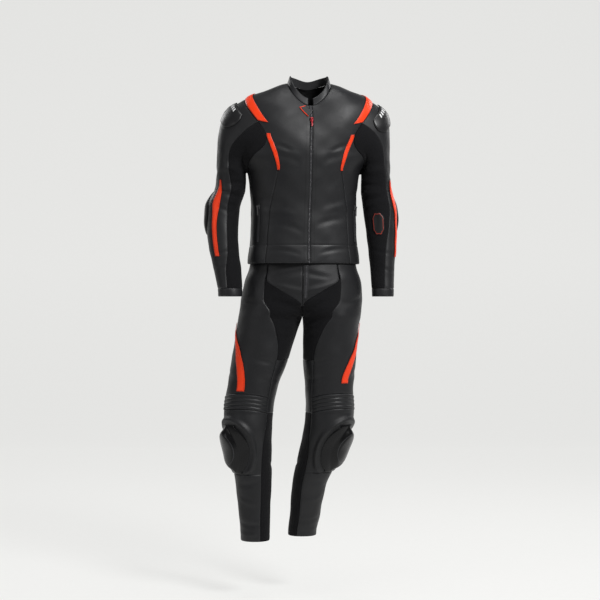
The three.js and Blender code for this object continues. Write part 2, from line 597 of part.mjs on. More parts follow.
// The turns of the cups' middles, and the air under a shoulder cup.
const CUP = { right: { shoulder: 76, elbow: 112, lift: 1.1 }, left: { shoulder: 70, elbow: 128, lift: 1.6 } };
const SHOULDER_CUP = { rows: [0.12, 0.17, 0.22, 0.3, 0.38, 0.45, 0.5], top: 52, foot: 62, base: 2.2, rise: 5 };
const ELBOW_CUP = { from: 1.88, to: 3.2, width: 84, base: 2, rise: 9 };
const SLEEVE_PATCH = { from: 2.5, to: 3.2, turn: -12, width: 40 };
for (const side of Object.keys(SIDES)) {
  const form = sleeveForm(side);
  const { lift } = CUP[side];
  add(`shoulder_cup_${side}`, "armour", wall(form, patchRows({
    at: SHOULDER_CUP.rows, count: 8, middle: () => CUP[side].shoulder,
    width: (v) => mix(SHOULDER_CUP.top, SHOULDER_CUP.foot, v) * oval(mix(0.2, 0.95, v), 0.3),
  }), { inner: lift, outer: (u, v) => lift + SHOULDER_CUP.base + SHOULDER_CUP.rise * dome(u, v) }));
  add(`elbow_cup_${side}`, "armour", wall(form, patchRows({
    from: ELBOW_CUP.from, to: ELBOW_CUP.to, steps: 9, count: 6,
    middle: () => CUP[side].elbow, width: (v) => ELBOW_CUP.width * oval(v, 0.35),
  }), { inner: TRIM_LIFT, outer: (u, v) => TRIM_LIFT + ELBOW_CUP.base + ELBOW_CUP.rise * dome(u, v) }));
  add(`elbow_stripe_${side}`, "orange", wall(form, patchRows({
    from: ELBOW_STRIPE.from, to: ELBOW_STRIPE.to, steps: 12, count: 2,
    middle: (v) => arms[side].stripe(sleeveHeight(mix(ELBOW_STRIPE.from, ELBOW_STRIPE.to, v))),
    width: (v) => ELBOW_STRIPE.end + (ELBOW_STRIPE.tail - ELBOW_STRIPE.end) * Math.min(1, 3 * v)
      + ELBOW_STRIPE.swell * Math.exp(-(((v - ELBOW_STRIPE.swellAt) / ELBOW_STRIPE.swellLong) ** 2)),
  }), { thick: TRIM, outer: STRIPE_LIFT + TRIM }));
}
add("sleeve_patch_left", "patch", wall(sleeveForm("left"), patchRows({
  from: SLEEVE_PATCH.from, to: SLEEVE_PATCH.to, steps: 6, count: 3, middle: () => SLEEVE_PATCH.turn,
  width: (v) => SLEEVE_PATCH.width * Math.min(1, 0.45 + 2.4 * Math.min(v, 1 - v)),
}), { thick: TRIM, outer: TRIM_LIFT + TRIM }));

// Trousers.
const HIP_TOP = 1090;
const V_TIP = 1007; // the top corner of the stretch panel at the crotch
const FRONT_POINT = 920; // where the front panels meet under the fly
const STRETCH_END = 752;
const RIBS_TOP = 632;
const CUP_TOP = 584;
const CUP_END = 392;
const RIB_ROWS = 8; // rows over the ribs, two for each rib
const LEG_ROWS = [
  HIP_TOP, 1050, V_TIP, 965, FRONT_POINT, 902, 890, CROTCH, 866, 816, STRETCH_END, 700,
  RIBS_TOP, CUP_TOP, 536, 486, 440, CUP_END, 340, 260, ANKLE,
].map(levelRow);
const KNEE_ARCH = { rise: 15, top: 690, full: RIBS_TOP, low: 500 };
const kneeArch = (level) => KNEE_ARCH.rise * (level > CUP_TOP
  ? ease(THREE.MathUtils.clamp((KNEE_ARCH.top - level) / (KNEE_ARCH.top - KNEE_ARCH.full), 0, 1))
  : ease(THREE.MathUtils.clamp((level - KNEE_ARCH.low) / (CUP_TOP - KNEE_ARCH.low), 0, 1)));
const legRows = (from, to) => LEG_ROWS.filter((r) => r.level < from + 0.01 && r.level > to - 0.01);
const kneeRow = ({ level }) => archedRow(level, kneeArch(level), OUTSEAM, CUP_INNER(level));
const seamTable = (rows) => column([...rows].reverse().map(([z, across]) => ({ z, across })), "across");
const V_OUTER = seamTable([[HIP_TOP, 50], [V_TIP, 52], [944, 59], [896, 86], [848, 106], [STRETCH_END, 127]]);
const V_INNER = seamTable([[HIP_TOP, 50], [V_TIP, 53.5], [975, 72], [944, 95], [FRONT_POINT, 114]]);
const OUTSEAM = -12;
const BACK_INNER = seamTable([[CROTCH, 180], [816, 184], [STRETCH_END, 212], [656, 228], [CUP_TOP, 235]]);
const CUP_INNER = seamTable([[STRETCH_END, 127], [RIBS_TOP, 138], [CUP_TOP, 140], [CUP_END, 118], [ANKLE, 112]]);
const centreFront = (side) => (height) => centreTurn(side, height);
const backSeam = (side) => (height) => (height > CROTCH + 0.01
  ? 360 - centreTurn(side, height) : BACK_INNER(height));

for (const side of Object.keys(SIDES)) {
  const form = legForm(side);
  add(`hip_front_${side}`, "leather", wall(form,
    between(legRows(HIP_TOP, FRONT_POINT), centreFront(side), V_INNER, 4)));
  add(`crotch_stretch_${side}`, "stretch", wall(form,
    between(legRows(V_TIP, STRETCH_END),
      (z) => (z > FRONT_POINT - 0.01 ? V_INNER(z) : z > CROTCH + 0.01 ? centreTurn(side, z) : BACK_INNER(z)),
      V_OUTER, 5), { thick: STRETCH }));
  add(`thigh_front_${side}`, "leather", wall(form,
    between(legRows(HIP_TOP, RIBS_TOP).map(kneeRow), (z) => (z > STRETCH_END - 0.01 ? V_OUTER(z) : CUP_INNER(z)),
      () => OUTSEAM, 7)));
  add(`back_leg_${side}`, "leather", wall(form,
    between(legRows(HIP_TOP, CUP_TOP), backSeam(side), () => 360 + OUTSEAM, 7)));
  add(`inner_thigh_${side}`, "leather", wall(form,
    between(legRows(STRETCH_END, CUP_TOP), CUP_INNER, BACK_INNER, 5)));
}

// Knees and lower legs.
const RIB_HEIGHT = 2.4;
const CUP_RISE = 7;
const ribRows = Array.from({ length: RIB_ROWS + 1 }, (_, i) => (
  kneeRow(levelRow(mix(RIBS_TOP, CUP_TOP, i / RIB_ROWS)))));
const ribHeight = (u, v) => RIB_HEIGHT * Math.abs(Math.sin((Math.PI * RIB_ROWS * v) / 2))
  * Math.min(1, 6 * u, 6 * (1 - u));
// The height of the padded knee cup above the plain leg.
function cupHeight(turn, z) {
  const u = THREE.MathUtils.clamp((turn - OUTSEAM) / (CUP_INNER(z) - OUTSEAM), 0, 1);
  const v = THREE.MathUtils.clamp((CUP_TOP - z) / (CUP_TOP - CUP_END), 0, 1);
  return CUP_RISE * Math.sin(Math.PI * Math.min(1, v * 1.6 + 0.08)) ** 1.2 * Math.sin(Math.PI * u) ** 0.7;
}
for (const side of Object.keys(SIDES)) {
  const form = legForm(side);
  add(`knee_ribs_${side}`, "leather", wall(form,
    between(ribRows, CUP_INNER, () => OUTSEAM, 8), { inner: -LEATHER, outer: ribHeight }));
  add(`knee_cup_${side}`, "leather", wall(form,
    between(legRows(CUP_TOP, CUP_END).map(kneeRow), CUP_INNER, () => OUTSEAM, 8),
    { inner: -LEATHER, outer: (u, v, turn, z) => cupHeight(turn, z) }));
  add(`shin_${side}`, "leather", wall(form,
    between(legRows(CUP_END, ANKLE), CUP_INNER, () => OUTSEAM, 6)));
  add(`calf_stretch_${side}`, "stretch", wall(form,
    between(legRows(CUP_TOP, ANKLE), (z) => CUP_INNER(z), () => 360 + OUTSEAM, 9), { thick: STRETCH }));
}

// Sliders on the knee cups: a curved base, with a puck that rises from its outer half.
const SLIDER = { from: 548, to: 396, turn: 42, width: 96, base: 3, rise: 15 };
const PUCK = { u: 0.36, v: 0.5, across: 0.3, along: 0.4 };
function puckHeight(u, v) {
  const away = Math.hypot((u - PUCK.u) / PUCK.across, (v - PUCK.v) / PUCK.along);
  return SLIDER.rise * ease(THREE.MathUtils.clamp((1.25 - away) / 0.45, 0, 1));
}
const THIGH_STRIPE_WIDTH = { top: 3, full: 19 };
const THIGH_STRIPE = {
  right: { top: 868, end: 655, path: seamTable([[868, 6], [774, 40], [655, 66]]) },
  left: { top: 868, end: 679, path: seamTable([[868, 2], [797, 20], [679, 54]]) },
};
for (const side of Object.keys(SIDES)) {
  const form = legForm(side);
  const seat = (u, v, turn, z) => cupHeight(turn, z) + 2 * TRIM_LIFT;
  add(`knee_slider_${side}`, "slider", wall(form, patchRows({
    from: SLIDER.from, to: SLIDER.to, steps: 8, count: 7,
    middle: () => SLIDER.turn, width: (v) => SLIDER.width * oval(v, 0.4),
  }), { inner: seat, outer: (u, v, turn, z) => seat(u, v, turn, z) + SLIDER.base + puckHeight(u, v) }));
  const { top, end, path } = THIGH_STRIPE[side];
  add(`thigh_stripe_${side}`, "orange", wall(form, patchRows({
    from: top, to: end, steps: 8, count: 2,
    middle: (v) => path(mix(top, end, v)),
    width: (v) => mix(THIGH_STRIPE_WIDTH.top, THIGH_STRIPE_WIDTH.full, Math.min(1, 1.7 * v)),
  }), { thick: TRIM, outer: STRIPE_LIFT + TRIM }));
}

// The waistband rises from the trousers and flares to the inside of the jacket, where a zip joins them.
// It is open at the centre front.
const JOIN_GAP = 1.1; // from the jacket's inner face, which has flat facets, to the band's top
function waistPoint(angle, z) {
  const side = angle < 180 ? "left" : "right";
  const foot = legPoint(side, angle < 180 ? (450 - angle) % 360 : (angle + 90) % 360, HIP_TOP);
  const top = bodyPoint(angle, WAIST).addScaledVector(bodyNormal(angle, WAIST), -LEATHER - JOIN_GAP);
  return foot.lerp(top, (z - HIP_TOP) / (WAIST - HIP_TOP));
}
const waistForm = {
  point: waistPoint,
  normal: (angle, z) => normalAt(waistPoint, new THREE.Vector3(TROUSER_MIDDLE, 0, z), angle, z, 1, 1.5),
};
const WAIST_OPEN = 3; // degrees from the centre front to each end of the band
const WAIST_STEPS = 36;
add("waistband", "leather", wall(waistForm, [HIP_TOP, (HIP_TOP + WAIST) / 2, WAIST].map((z) =>
  Array.from({ length: WAIST_STEPS + 1 }, (_, k) => [mix(WAIST_OPEN, 360 - WAIST_OPEN, k / WAIST_STEPS), z]))));

// The collar's tab crosses its opening, from the left front to the right.
// Its corners are degrees across and levels.
const TAB = { foot: [-5.5, 1579], root: [3.5, 1608], head: [-11, 1626], tip: [-20, 1611] };
const TAB_STEPS = 6;
const TAB_THICK = 2.2;
const tabCorner = (from, to, t) => [mix(from[0], to[0], t), mix(from[1], to[1], t)];
const tabRows = Array.from({ length: TAB_STEPS + 1 }, (_, i) => {
  const low = tabCorner(TAB.foot, TAB.tip, i / TAB_STEPS);
  const high = tabCorner(TAB.root, TAB.head, i / TAB_STEPS);
  return [0, 0.5, 1].map((t) => tabCorner(low, high, t));
});
add("collar_tab", "leather", wall(bodyForm, tabRows, { thick: TAB_THICK, outer: TRIM_LIFT + TAB_THICK }));

// Zip sliders and their pulls. In a slider's own frame x is across, y is out of the leather and z is up.
// The pull hangs from a pin between two ears.
const RUNNER = { width: 9, height: 12, depth: 3 };
const EAR = { width: 1.6, height: 5, reach: 4.2, apart: 4.4 };
const PIN = { radius: 0.9, out: 2.6, up: 3 };
const PULL = { width: 3.8, depth: 1.8, length: 27, hole: 1.3, clear: 0.45 };
const { Manifold } = wasm;
const block = (size, at) => Manifold.cube(size, true).translate(at);
const rod = (radius, length) => Manifold.cylinder(length, radius, radius, 12, true).rotate([0, 90, 0]);
function runnerSolid() {
  const ears = [-1, 1].map((e) => block([EAR.width, EAR.reach, EAR.height],
    [e * (EAR.apart + EAR.width) / 2, RUNNER.depth + EAR.reach / 2 - 0.2, PIN.up]));
  const pin = rod(PIN.radius, EAR.apart + EAR.width).translate([0, RUNNER.depth + PIN.out, PIN.up]);
  const base = block([RUNNER.width, RUNNER.depth, RUNNER.height], [0, RUNNER.depth / 2, 0]);
  return Manifold.union([base, ...ears, pin]);
}
function pullSolid() {
  const tab = block([PULL.width, PULL.depth, PULL.length], [0, 0, -PULL.length / 2 - PIN.radius]);
  const eye = rod(PIN.radius + PULL.clear + 1, PULL.width);
  return Manifold.union([tab, eye]).subtract(rod(PIN.radius + PULL.clear, PULL.width + 2))
    .translate([0, RUNNER.depth + PIN.out, PIN.up]);
}
function meshGeometry(solid) {
  const mesh = solid.getMesh();
  const points = new Float32Array(mesh.numVert * 3);
  for (let i = 0; i < mesh.numVert; i++) {
    for (let k = 0; k < 3; k++) points[3 * i + k] = mesh.vertProperties[i * mesh.numProp + k];
  }
  const geometry = new THREE.BufferGeometry();
  geometry.setAttribute("position", new THREE.Float32BufferAttribute(points, 3));
  geometry.setIndex(Array.from(mesh.triVerts));
  return geometry;
}
// Where a slider sits: its frame on the jacket body at a place, raised from the leather.
function seatOn(angle, level, lift) {
  const out = bodyNormal(angle, level);
  const across = out.clone().cross(new THREE.Vector3(0, 0, 1)).normalize();
  const up = across.clone().cross(out);
  const place = new THREE.Matrix4().makeBasis(across, out.clone(), up);
  return place.setPosition(bodyPoint(angle, level).addScaledVector(out, lift));
}
// A pocket's reach is from the body's middle.
const POCKET = { angle: 69, top: 1244, bottom: 1124, width: 8, reach: 140 };
const ZIPS = {
  front: { angle: 0, level: 1566, lift: 0.5, body: "front_zip_pull" },
  pocket_right: {
    angle: -POCKET.angle, level: POCKET.top - 12, lift: TRIM_LIFT + TRIM + 0.35, body: "right_pocket_pull",
  },
  pocket_left: {
    angle: POCKET.angle, level: POCKET.top - 12, lift: TRIM_LIFT + TRIM + 0.35, body: "left_pocket_pull",
  },
};
for (const [name, zip] of Object.entries(ZIPS)) {
  const place = seatOn(zip.angle, zip.level, zip.lift);
  add(`${name}_slider`, "metal", meshGeometry(runnerSolid()).applyMatrix4(place));
  const pull = add(`${name}_pull`, "metal", meshGeometry(pullSolid()).applyMatrix4(place));
  // Where the pull swings on its pin.
  pull.userData.hinge = {
    name: `${name}_pull_swing`,
    child: zip.body,
    at: new THREE.Vector3(0, RUNNER.depth + PIN.out, PIN.up).applyMatrix4(place).toArray(),
    axis: new THREE.Vector3().setFromMatrixColumn(place, 0).toArray(),
  };
}
for (const [side, sign] of Object.entries(SIDES)) {
  const half = THREE.MathUtils.radToDeg(POCKET.width / 2 / POCKET.reach);
  add(`pocket_zip_${side}`, "zip", wall(bodyForm,
    between([POCKET.bottom, JACKET_HEM + 80, 1175, 1216, POCKET.top].map(levelRow),
      () => sign * POCKET.angle - half, () => sign * POCKET.angle + half, 2),
    { thick: TRIM, outer: TRIM_LIFT + TRIM }));
}

group.updateMatrixWorld(true);
export default group;
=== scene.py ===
"""Dresses a packed two-piece race suit: leather and stretch panels with creases and sewn edges, padded
knees, moulded cups, knee sliders, coloured trim and zips, on a pale studio floor."""

import math

import bpy
import numpy as np
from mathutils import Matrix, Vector


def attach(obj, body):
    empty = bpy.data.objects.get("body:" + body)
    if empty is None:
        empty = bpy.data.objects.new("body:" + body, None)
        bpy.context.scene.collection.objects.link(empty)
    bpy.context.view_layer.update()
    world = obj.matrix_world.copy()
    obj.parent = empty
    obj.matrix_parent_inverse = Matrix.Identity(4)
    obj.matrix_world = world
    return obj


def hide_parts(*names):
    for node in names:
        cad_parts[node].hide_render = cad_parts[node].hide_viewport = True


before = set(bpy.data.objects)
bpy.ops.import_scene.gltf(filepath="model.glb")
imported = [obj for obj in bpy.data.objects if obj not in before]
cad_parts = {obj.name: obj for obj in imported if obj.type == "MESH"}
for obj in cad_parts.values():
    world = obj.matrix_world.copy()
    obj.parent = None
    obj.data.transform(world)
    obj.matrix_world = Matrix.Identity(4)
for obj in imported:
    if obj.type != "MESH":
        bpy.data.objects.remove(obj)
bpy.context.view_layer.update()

bl_info = {
    "name": "Race suit",
    "version": (1, 0, 0),
    "blender": (4, 5, 0),
    "location": "View3D > Sidebar > Race suit",
    "description": "Cuts, sews and finishes a two-piece motorcycle race suit",
    "category": "Object",
}

BODY = "suit"
SIDES = {"right": -1, "left": 1}
MM = 0.001
CARRY_HEIGHT = 1560.0  # the frame's origin above the ground, in millimetres

# The forms of the suit are the ones its solids are made from. Their sizes are in millimetres, and heights
# are above the ground.
TROUSER_MIDDLE = -12.0
CHEST = 1400.0
CROWN_STEP = 220.0
BODY_ROUNDNESS = 2.4
SHOULDER_SLOPE = 0.18
SLOPE_EASE = 40.0
SHOULDER_HOLLOW = {"across": 140.0, "width": 36.0, "depth": 12.0}
JACKET_HEM = 1056.0
CROWN = {"side": (241.0, 4.0), "front": (197.0, 2.2), "back": (237.0, 2.6)}
ARMHOLE = {"level": 1465.0, "half": 120.0, "front": 37.5, "back": 37.0, "point": 0.65}
ARMHOLE_TOP = ARMHOLE["level"] + ARMHOLE["half"]
ARMHOLE_BOTTOM = ARMHOLE["level"] - ARMHOLE["half"]
NECKLINE = {"front": 1632.0, "side": 1682.0, "back": 1688.0}
CAP_END = 1368.0
REACH_STEP = 100.0
CAP_FULLNESS = 1.35
CAP_BLEND = {"side": 0.45, "top": 0.62}
ARM_ROUNDNESS = 0.94
WRIST = 952.0
CROTCH = 884.0
WAIST = 1128.0
ANKLE = 182.0
LEG_ROUNDNESS = 0.95
LEATHER = 3.0
STRETCH = 2.4
TRIM = 1.6
TRIM_LIFT = 0.85
STRIPE_LIFT = 1.4
OUTSEAM = -12.0
HIP_TOP, V_TIP, FRONT_POINT, STRETCH_END = 1090.0, 1007.0, 920.0, 752.0
RIBS_TOP, CUP_TOP, CUP_END = 632.0, 584.0, 392.0

BODY_COLUMNS = ("z", "half", "front", "back", "turn", "wide", "shift")
BODY_ROWS = (
    (1056, 179, 114, 122, 9, 1, -8),
    (1130, 171, 110, 112, 9, 1, -8),
    (1216, 168, 109, 103, 10, 1, -8),
    (1290, 172, 114, 108, 11, 1, -8),
    (1345, 179, 121, 115, 11, 1, -8),
    (1400, 214, 125, 122, 11, 1, -8),
    (1500, 214, 125, 122, 9, 1.04, -2),
    (1585, 214, 125, 122, 6, 1.09, 6),
    (1690, 214, 125, 122, 4, 0.94, 8),
)
ARM_COLUMNS = ("z", "x", "y", "half", "deep", "tilt", "seam", "stripe")
ARM_ROWS = {
    "right": (
        (952, 238, -78, 38, 41, 0, 10, 28),
        (1030, 247, -62, 43, 46, 0, 4, 28),
        (1105, 260, -45, 47, 52, 0, -18, 27),
        (1170, 265, -30, 50, 56, 0, -20, 26),
        (1235, 262, -18, 51, 58, 3, -17, 24),
        (1300, 240, -20, 48, 57, 10, -5, 36),
        (1368, 237, -27, 53, 63, 30, 8, 40),
    ),
    "left": (
        (952, 244, -18, 35, 41, 0, 3, 66),
        (1030, 244, -4, 38, 46, 0, 5, 66),
        (1105, 243, 10, 44, 52, 0, 11, 68),
        (1165, 241, 20, 49, 56, 0, 24, 68),
        (1225, 237, 28, 52, 58, 3, 34, 66),
        (1300, 225, 27, 49, 57, 10, 40, 62),
        (1368, 223, 22, 53, 63, 30, 32, 60),
    ),
}
HIP_COLUMNS = ("z", "ratio", "right", "left", "front", "back")
HIP_ROWS = (
    (884, 1.004, 204, 186, 99, 104),
    (888, 0.977, 203.5, 186.5, 100, 106),
    (900, 0.75, 201.5, 188, 102, 111),
    (920, 0.465, 199, 190, 105, 117),
    (950, 0.195, 195, 191, 107, 120),
    (1000, 0.045, 184, 188, 108, 119),
    (1050, 0, 168, 172, 103, 110),
    (1128, 0, 154, 156, 96, 98),
)
LEG_COLUMNS = ("z", "out", "half", "front", "back", "y")
LEG_ROWS = {
    "right": (
        (182, 149, 46, 47, 48, -42),
        (250, 151, 49, 50, 54, -38),
        (345, 154, 56, 57, 66, -32),
        (400, 158, 61, 62, 70, -30),
        (450, 164, 67, 68, 70, -30),
        (528, 170, 74, 77, 70, -30),
        (592, 170, 78, 79, 74, -27),
        (656, 160, 80, 81, 81, -22),
        (752, 135, 90, 90, 91, -12),
        (848, 112, 98, 97, 101, -2),
    ),
    "left": (
        (182, 0, 46, 47, 48, 62),
        (250, 9, 49, 50, 54, 52),
        (345, 22, 55, 57, 66, 36),
        (400, 39, 62, 62, 70, 25),
        (450, 57, 69, 68, 70, 14),
        (528, 77, 73, 77, 70, 0),
        (592, 88, 77, 79, 74, -5),
        (656, 86, 77, 81, 81, -5),
        (752, 87, 85, 90, 91, -2),
        (848, 91, 88, 97, 101, 0),
    ),
}


class SuitSizes(bpy.types.PropertyGroup):
    """Sizes of the cloth's finish"""
    cell: bpy.props.FloatProperty(
        name="Cell", description="Size of the mesh cells of a panel",
        default=0.005, min=0.003, max=0.02, unit="LENGTH")
    seam_depth: bpy.props.FloatProperty(
        name="Seam depth", description="How far a panel sinks at its seams",
        default=0.0012, min=0, max=0.003, unit="LENGTH")
    seam_width: bpy.props.FloatProperty(
        name="Seam width", description="How far from a seam the panel is level again",
        default=0.0045, min=0.001, max=0.01, unit="LENGTH")
    crease: bpy.props.FloatProperty(
        name="Crease", description="Depth of the creases, as a share of their tables",
        default=1.0, min=0, max=2, subtype="FACTOR")
    stitch: bpy.props.FloatProperty(
        name="Stitch", description="Length of a stitch and the gap after it",
        default=0.0042, min=0.002, max=0.01, unit="LENGTH")
    stitch_inset: bpy.props.FloatProperty(
        name="Stitch inset", description="Distance of a row of stitches from its seam",
        default=0.0032, min=0.001, max=0.01, unit="LENGTH")
    placket: bpy.props.FloatProperty(
        name="Placket", description="Distance of the placket's stitches from the front zip",
        default=0.013, min=0.005, max=0.03, unit="LENGTH")
    grain: bpy.props.FloatProperty(
        name="Grain", description="Width of a pebble of the leather's grain",
        default=0.0016, min=0.0005, max=0.005, unit="LENGTH")


def colour(name, words, value):
    return bpy.props.FloatVectorProperty(
        name=name, description=words, default=value, size=3, min=0, max=1, subtype="COLOR")


class SuitColours(bpy.types.PropertyGroup):
    """Colours of the suit and its stage"""
    leather: colour("Leather", "Black leather", (0.0078, 0.0080, 0.0090))
    stretch: colour("Stretch", "Stretch panels", (0.0032, 0.0032, 0.0038))
    orange: colour("Trim", "Bright trim", (0.80, 0.042, 0.004))
    white: colour("Marks", "White marks", (0.78, 0.78, 0.78))
    armour: colour("Cups", "Moulded shoulder and elbow cups", (0.0070, 0.0070, 0.0078))
    slider: colour("Sliders", "Hard plastic pucks at the knees", (0.0040, 0.0040, 0.0044))
    zip_tape: colour("Zip tape", "Woven tape of the zips", (0.006, 0.006, 0.007))
    zip_metal: colour("Zip parts", "Lacquered slider and pull of the front zip", (0.32, 0.012, 0.02))
    pocket_metal: colour("Pocket zip parts", "Plated sliders and pulls of the pockets", (0.16, 0.16, 0.165))
    lining: colour("Lining", "The inside of the suit", (0.02, 0.02, 0.022))
    stage: colour("Stage", "Floor and backdrop", (0.85, 0.85, 0.835))


def mix(a, b, t):
    return a + (b - a) * t


def ease(t):
    return t * t * (3 - 2 * t)


def column(z, v):
    """A smooth function of height through the rows (z, v), flat past its ends and with no overshoot."""
    z, v = np.array(z, float), np.array(v, float)
    slope = np.diff(v) / np.diff(z)
    tangent = np.zeros(len(v))
    for i in range(1, len(v) - 1):
        a, b = slope[i - 1], slope[i]
        tangent[i] = 0 if a * b <= 0 else 2 * a * b / (a + b)

    def at(height):
        h = np.clip(height, z[0], z[-1])
        i = np.clip(np.searchsorted(z, h, side="left") - 1, 0, len(z) - 2)
        span = z[i + 1] - z[i]
        t = (h - z[i]) / span
        t2, t3 = t * t, t * t * t
        return ((2 * t3 - 3 * t2 + 1) * v[i] + (t3 - 2 * t2 + t) * span * tangent[i]
                + (3 * t2 - 2 * t3) * v[i + 1] + (t3 - t2) * span * tangent[i + 1])
    return at


def columns(names, rows):
    z = [row[0] for row in rows]
    return {name: column(z, [row[i] for row in rows]) for i, name in enumerate(names) if i}


def leg_table(side):
    rows = list(LEG_ROWS[side])
    for z, ratio, right, left, front, back in HIP_ROWS:
        reach = right if side == "right" else left
        rows.append((z, reach * ratio / (1 + ratio), reach / (1 + ratio), front, back, 0))
    return columns(LEG_COLUMNS, rows)


TORSO = columns(BODY_COLUMNS, BODY_ROWS)
ARMS = {side: columns(ARM_COLUMNS, rows) for side, rows in ARM_ROWS.items()}
LEGS = {side: leg_table(side) for side in SIDES}


def unit(v):
    return v / np.maximum(np.linalg.norm(v, axis=-1, keepdims=True), 1e-12)


def dot(a, b):
    return (a * b).sum(axis=-1, keepdims=True)


def signed_power(value, power):
    return np.sign(value) * np.abs(value) ** power


def normal_at(point, inside, across, along, step_across, step_along):
    """The outward normals of a form at its places, from the points just round them."""
    a = point(across + step_across, along) - point(across - step_across, along)
    b = point(across, along + step_along) - point(across, along - step_along)
    normal = unit(np.cross(a, b))
    outward = point(across, along) - inside
    return np.where(dot(normal, outward) < 0, -normal, normal)


def arrays(*values):
    return [np.array(v, float) for v in np.broadcast_arrays(*values)]


def body_point(angle, level):
    """A place on the jacket body: degrees from the centre front towards the wearer's left, and a level."""
    angle, level = arrays(angle, level)
    sin, cos = np.sin(np.radians(angle)), np.cos(np.radians(angle))
    rise = np.maximum(0, level - CHEST) / CROWN_STEP
    front = cos > 0
    deep = np.where(front, TORSO["front"](level), TORSO["back"](level))
    height = np.where(front, CROWN["front"][0], CROWN["back"][0])
    power = np.where(front, CROWN["front"][1], CROWN["back"][1])
    height = mix(height, CROWN["side"][0], sin * sin)
    power = mix(power, CROWN["side"][1], sin * sin)
    flat = (np.abs(sin / TORSO["half"](level)) ** BODY_ROUNDNESS
            + np.abs(cos / deep) ** BODY_ROUNDNESS) ** (1 / BODY_ROUNDNESS)
    reach = ((flat * np.cos(rise)) ** power + (np.sin(rise) / height) ** power) ** (-1 / power)
    across = reach * np.cos(rise) * sin
    slope = SHOULDER_SLOPE * (np.hypot(across, SLOPE_EASE) - SLOPE_EASE) * np.sin(rise)
    beside = (np.abs(across) - SHOULDER_HOLLOW["across"]) / SHOULDER_HOLLOW["width"]
    hollow = SHOULDER_HOLLOW["depth"] * np.sin(rise) ** 2 * np.exp(-beside ** 2)
    up = np.where(rise > 0, CHEST + reach * np.sin(rise) - slope - hollow, level)
    across = across * TORSO["wide"](level)
    back = -reach * np.cos(rise) * cos
    turn = np.radians(TORSO["turn"](level))
    return np.stack([across * np.cos(turn) - back * np.sin(turn) + TORSO["shift"](level),
                     across * np.sin(turn) + back * np.cos(turn), up], axis=-1)


def body_normal(angle, level):
    angle, level = arrays(angle, level)
    inside = np.stack([TORSO["shift"](level), np.zeros_like(level), np.minimum(level, CHEST)], -1)
    return normal_at(body_point, inside, angle, level, 0.5, 2)


def armhole_level(turn):
    away = np.mod(turn + 90, 360) - 90
    away = np.where(away > 90, 180 - away, away)
    return ARMHOLE["level"] + ARMHOLE["half"] * mix(np.sin(np.radians(away)), away / 90, ARMHOLE["point"])


def armhole_angle(turn):
    cos = np.cos(np.radians(turn))
    return 90 - cos * np.where(cos > 0, ARMHOLE["front"], ARMHOLE["back"])


ARMHOLE_TURNS = np.linspace(-90, 90, 361)


def armhole_edge(level, reach):
    """The angle of the armhole's front or back edge at a level, and 90 past its ends."""
    turn = np.interp(level, armhole_level(ARMHOLE_TURNS), ARMHOLE_TURNS)
    return 90 - reach * np.cos(np.radians(turn))


def neckline_level(angle):
    sin, cos = np.sin(np.radians(angle)), np.cos(np.radians(angle))
    return mix(np.where(cos > 0, NECKLINE["front"], NECKLINE["back"]), NECKLINE["side"], sin * sin)


def sleeve_height(reach):
    return CAP_END - (reach - 1) * REACH_STEP


def sleeve_ring(side, turn, height):
    turn, height = arrays(turn, height)
    arm = ARMS[side]
    out = arm["half"](height) * signed_power(np.sin(np.radians(turn)), ARM_ROUNDNESS)
    front = arm["deep"](height) * signed_power(np.cos(np.radians(turn)), ARM_ROUNDNESS)
    tilt = np.radians(arm["tilt"](height))
    return np.stack([SIDES[side] * (arm["x"](height) + out * np.cos(tilt)),
                     arm["y"](height) - front, height + out * np.sin(tilt)], axis=-1)


def sleeve_point(side, turn, reach):
    """A place on a sleeve: its turn from the front over the outside, and its reach from the armhole."""
    turn, reach = arrays(turn, reach)
    sign = SIDES[side]
    low = sleeve_ring(side, turn, sleeve_height(np.maximum(1, reach)))
    start = body_point(sign * armhole_angle(turn), armhole_level(turn))
    end = sleeve_ring(side, turn, CAP_END)
    span = np.linalg.norm(end - start, axis=-1, keepdims=True) * CAP_FULLNESS
    along = (body_point(sign * armhole_angle(turn + 1), armhole_level(turn + 1))
             - body_point(sign * armhole_angle(turn - 1), armhole_level(turn - 1)))
    into = unit(np.cross(along, body_normal(sign * armhole_angle(turn), armhole_level(turn))))
    outward = np.array([sign, 0, -0.2])
    into = np.where(dot(into, outward) < 0, -into, into)
    over = np.maximum(0, np.sin(np.radians(turn))) ** 2
    blend = mix(CAP_BLEND["side"], CAP_BLEND["top"], over)[..., None]
    leave = unit(mix(into, outward, blend)) * span
    arrive = unit(sleeve_ring(side, turn, CAP_END - 5) - end) * span
    t = np.clip(reach, 0, 1)[..., None]
    t2, t3 = t * t, t * t * t
    cap = (start * (2 * t3 - 3 * t2 + 1) + leave * (t3 - 2 * t2 + t)
           + end * (3 * t2 - 2 * t3) + arrive * (t3 - t2))
    return np.where(reach[..., None] >= 1, low, cap)


def sleeve_normal(side, turn, reach):
    turn, reach = arrays(turn, reach)
    at = np.maximum(reach, 0.02)
    inside = (sleeve_point(side, turn, at) + sleeve_point(side, turn + 180, at)) / 2
    normal = normal_at(lambda a, b: sleeve_point(side, a, b), inside, turn, at, 1, 0.015)
    at_body = body_normal(SIDES[side] * armhole_angle(turn), armhole_level(turn))
    return unit(mix(at_body, normal, np.clip(reach / 0.06, 0, 1)[..., None]))


def centre_turn(side, height):
    out, half = LEGS[side]["out"](height), LEGS[side]["half"](height)
    whole = (height <= CROTCH + 0.01) | (out >= half)
    return np.where(whole, 180.0, np.degrees(np.arccos(-np.minimum(out / half, 1))))


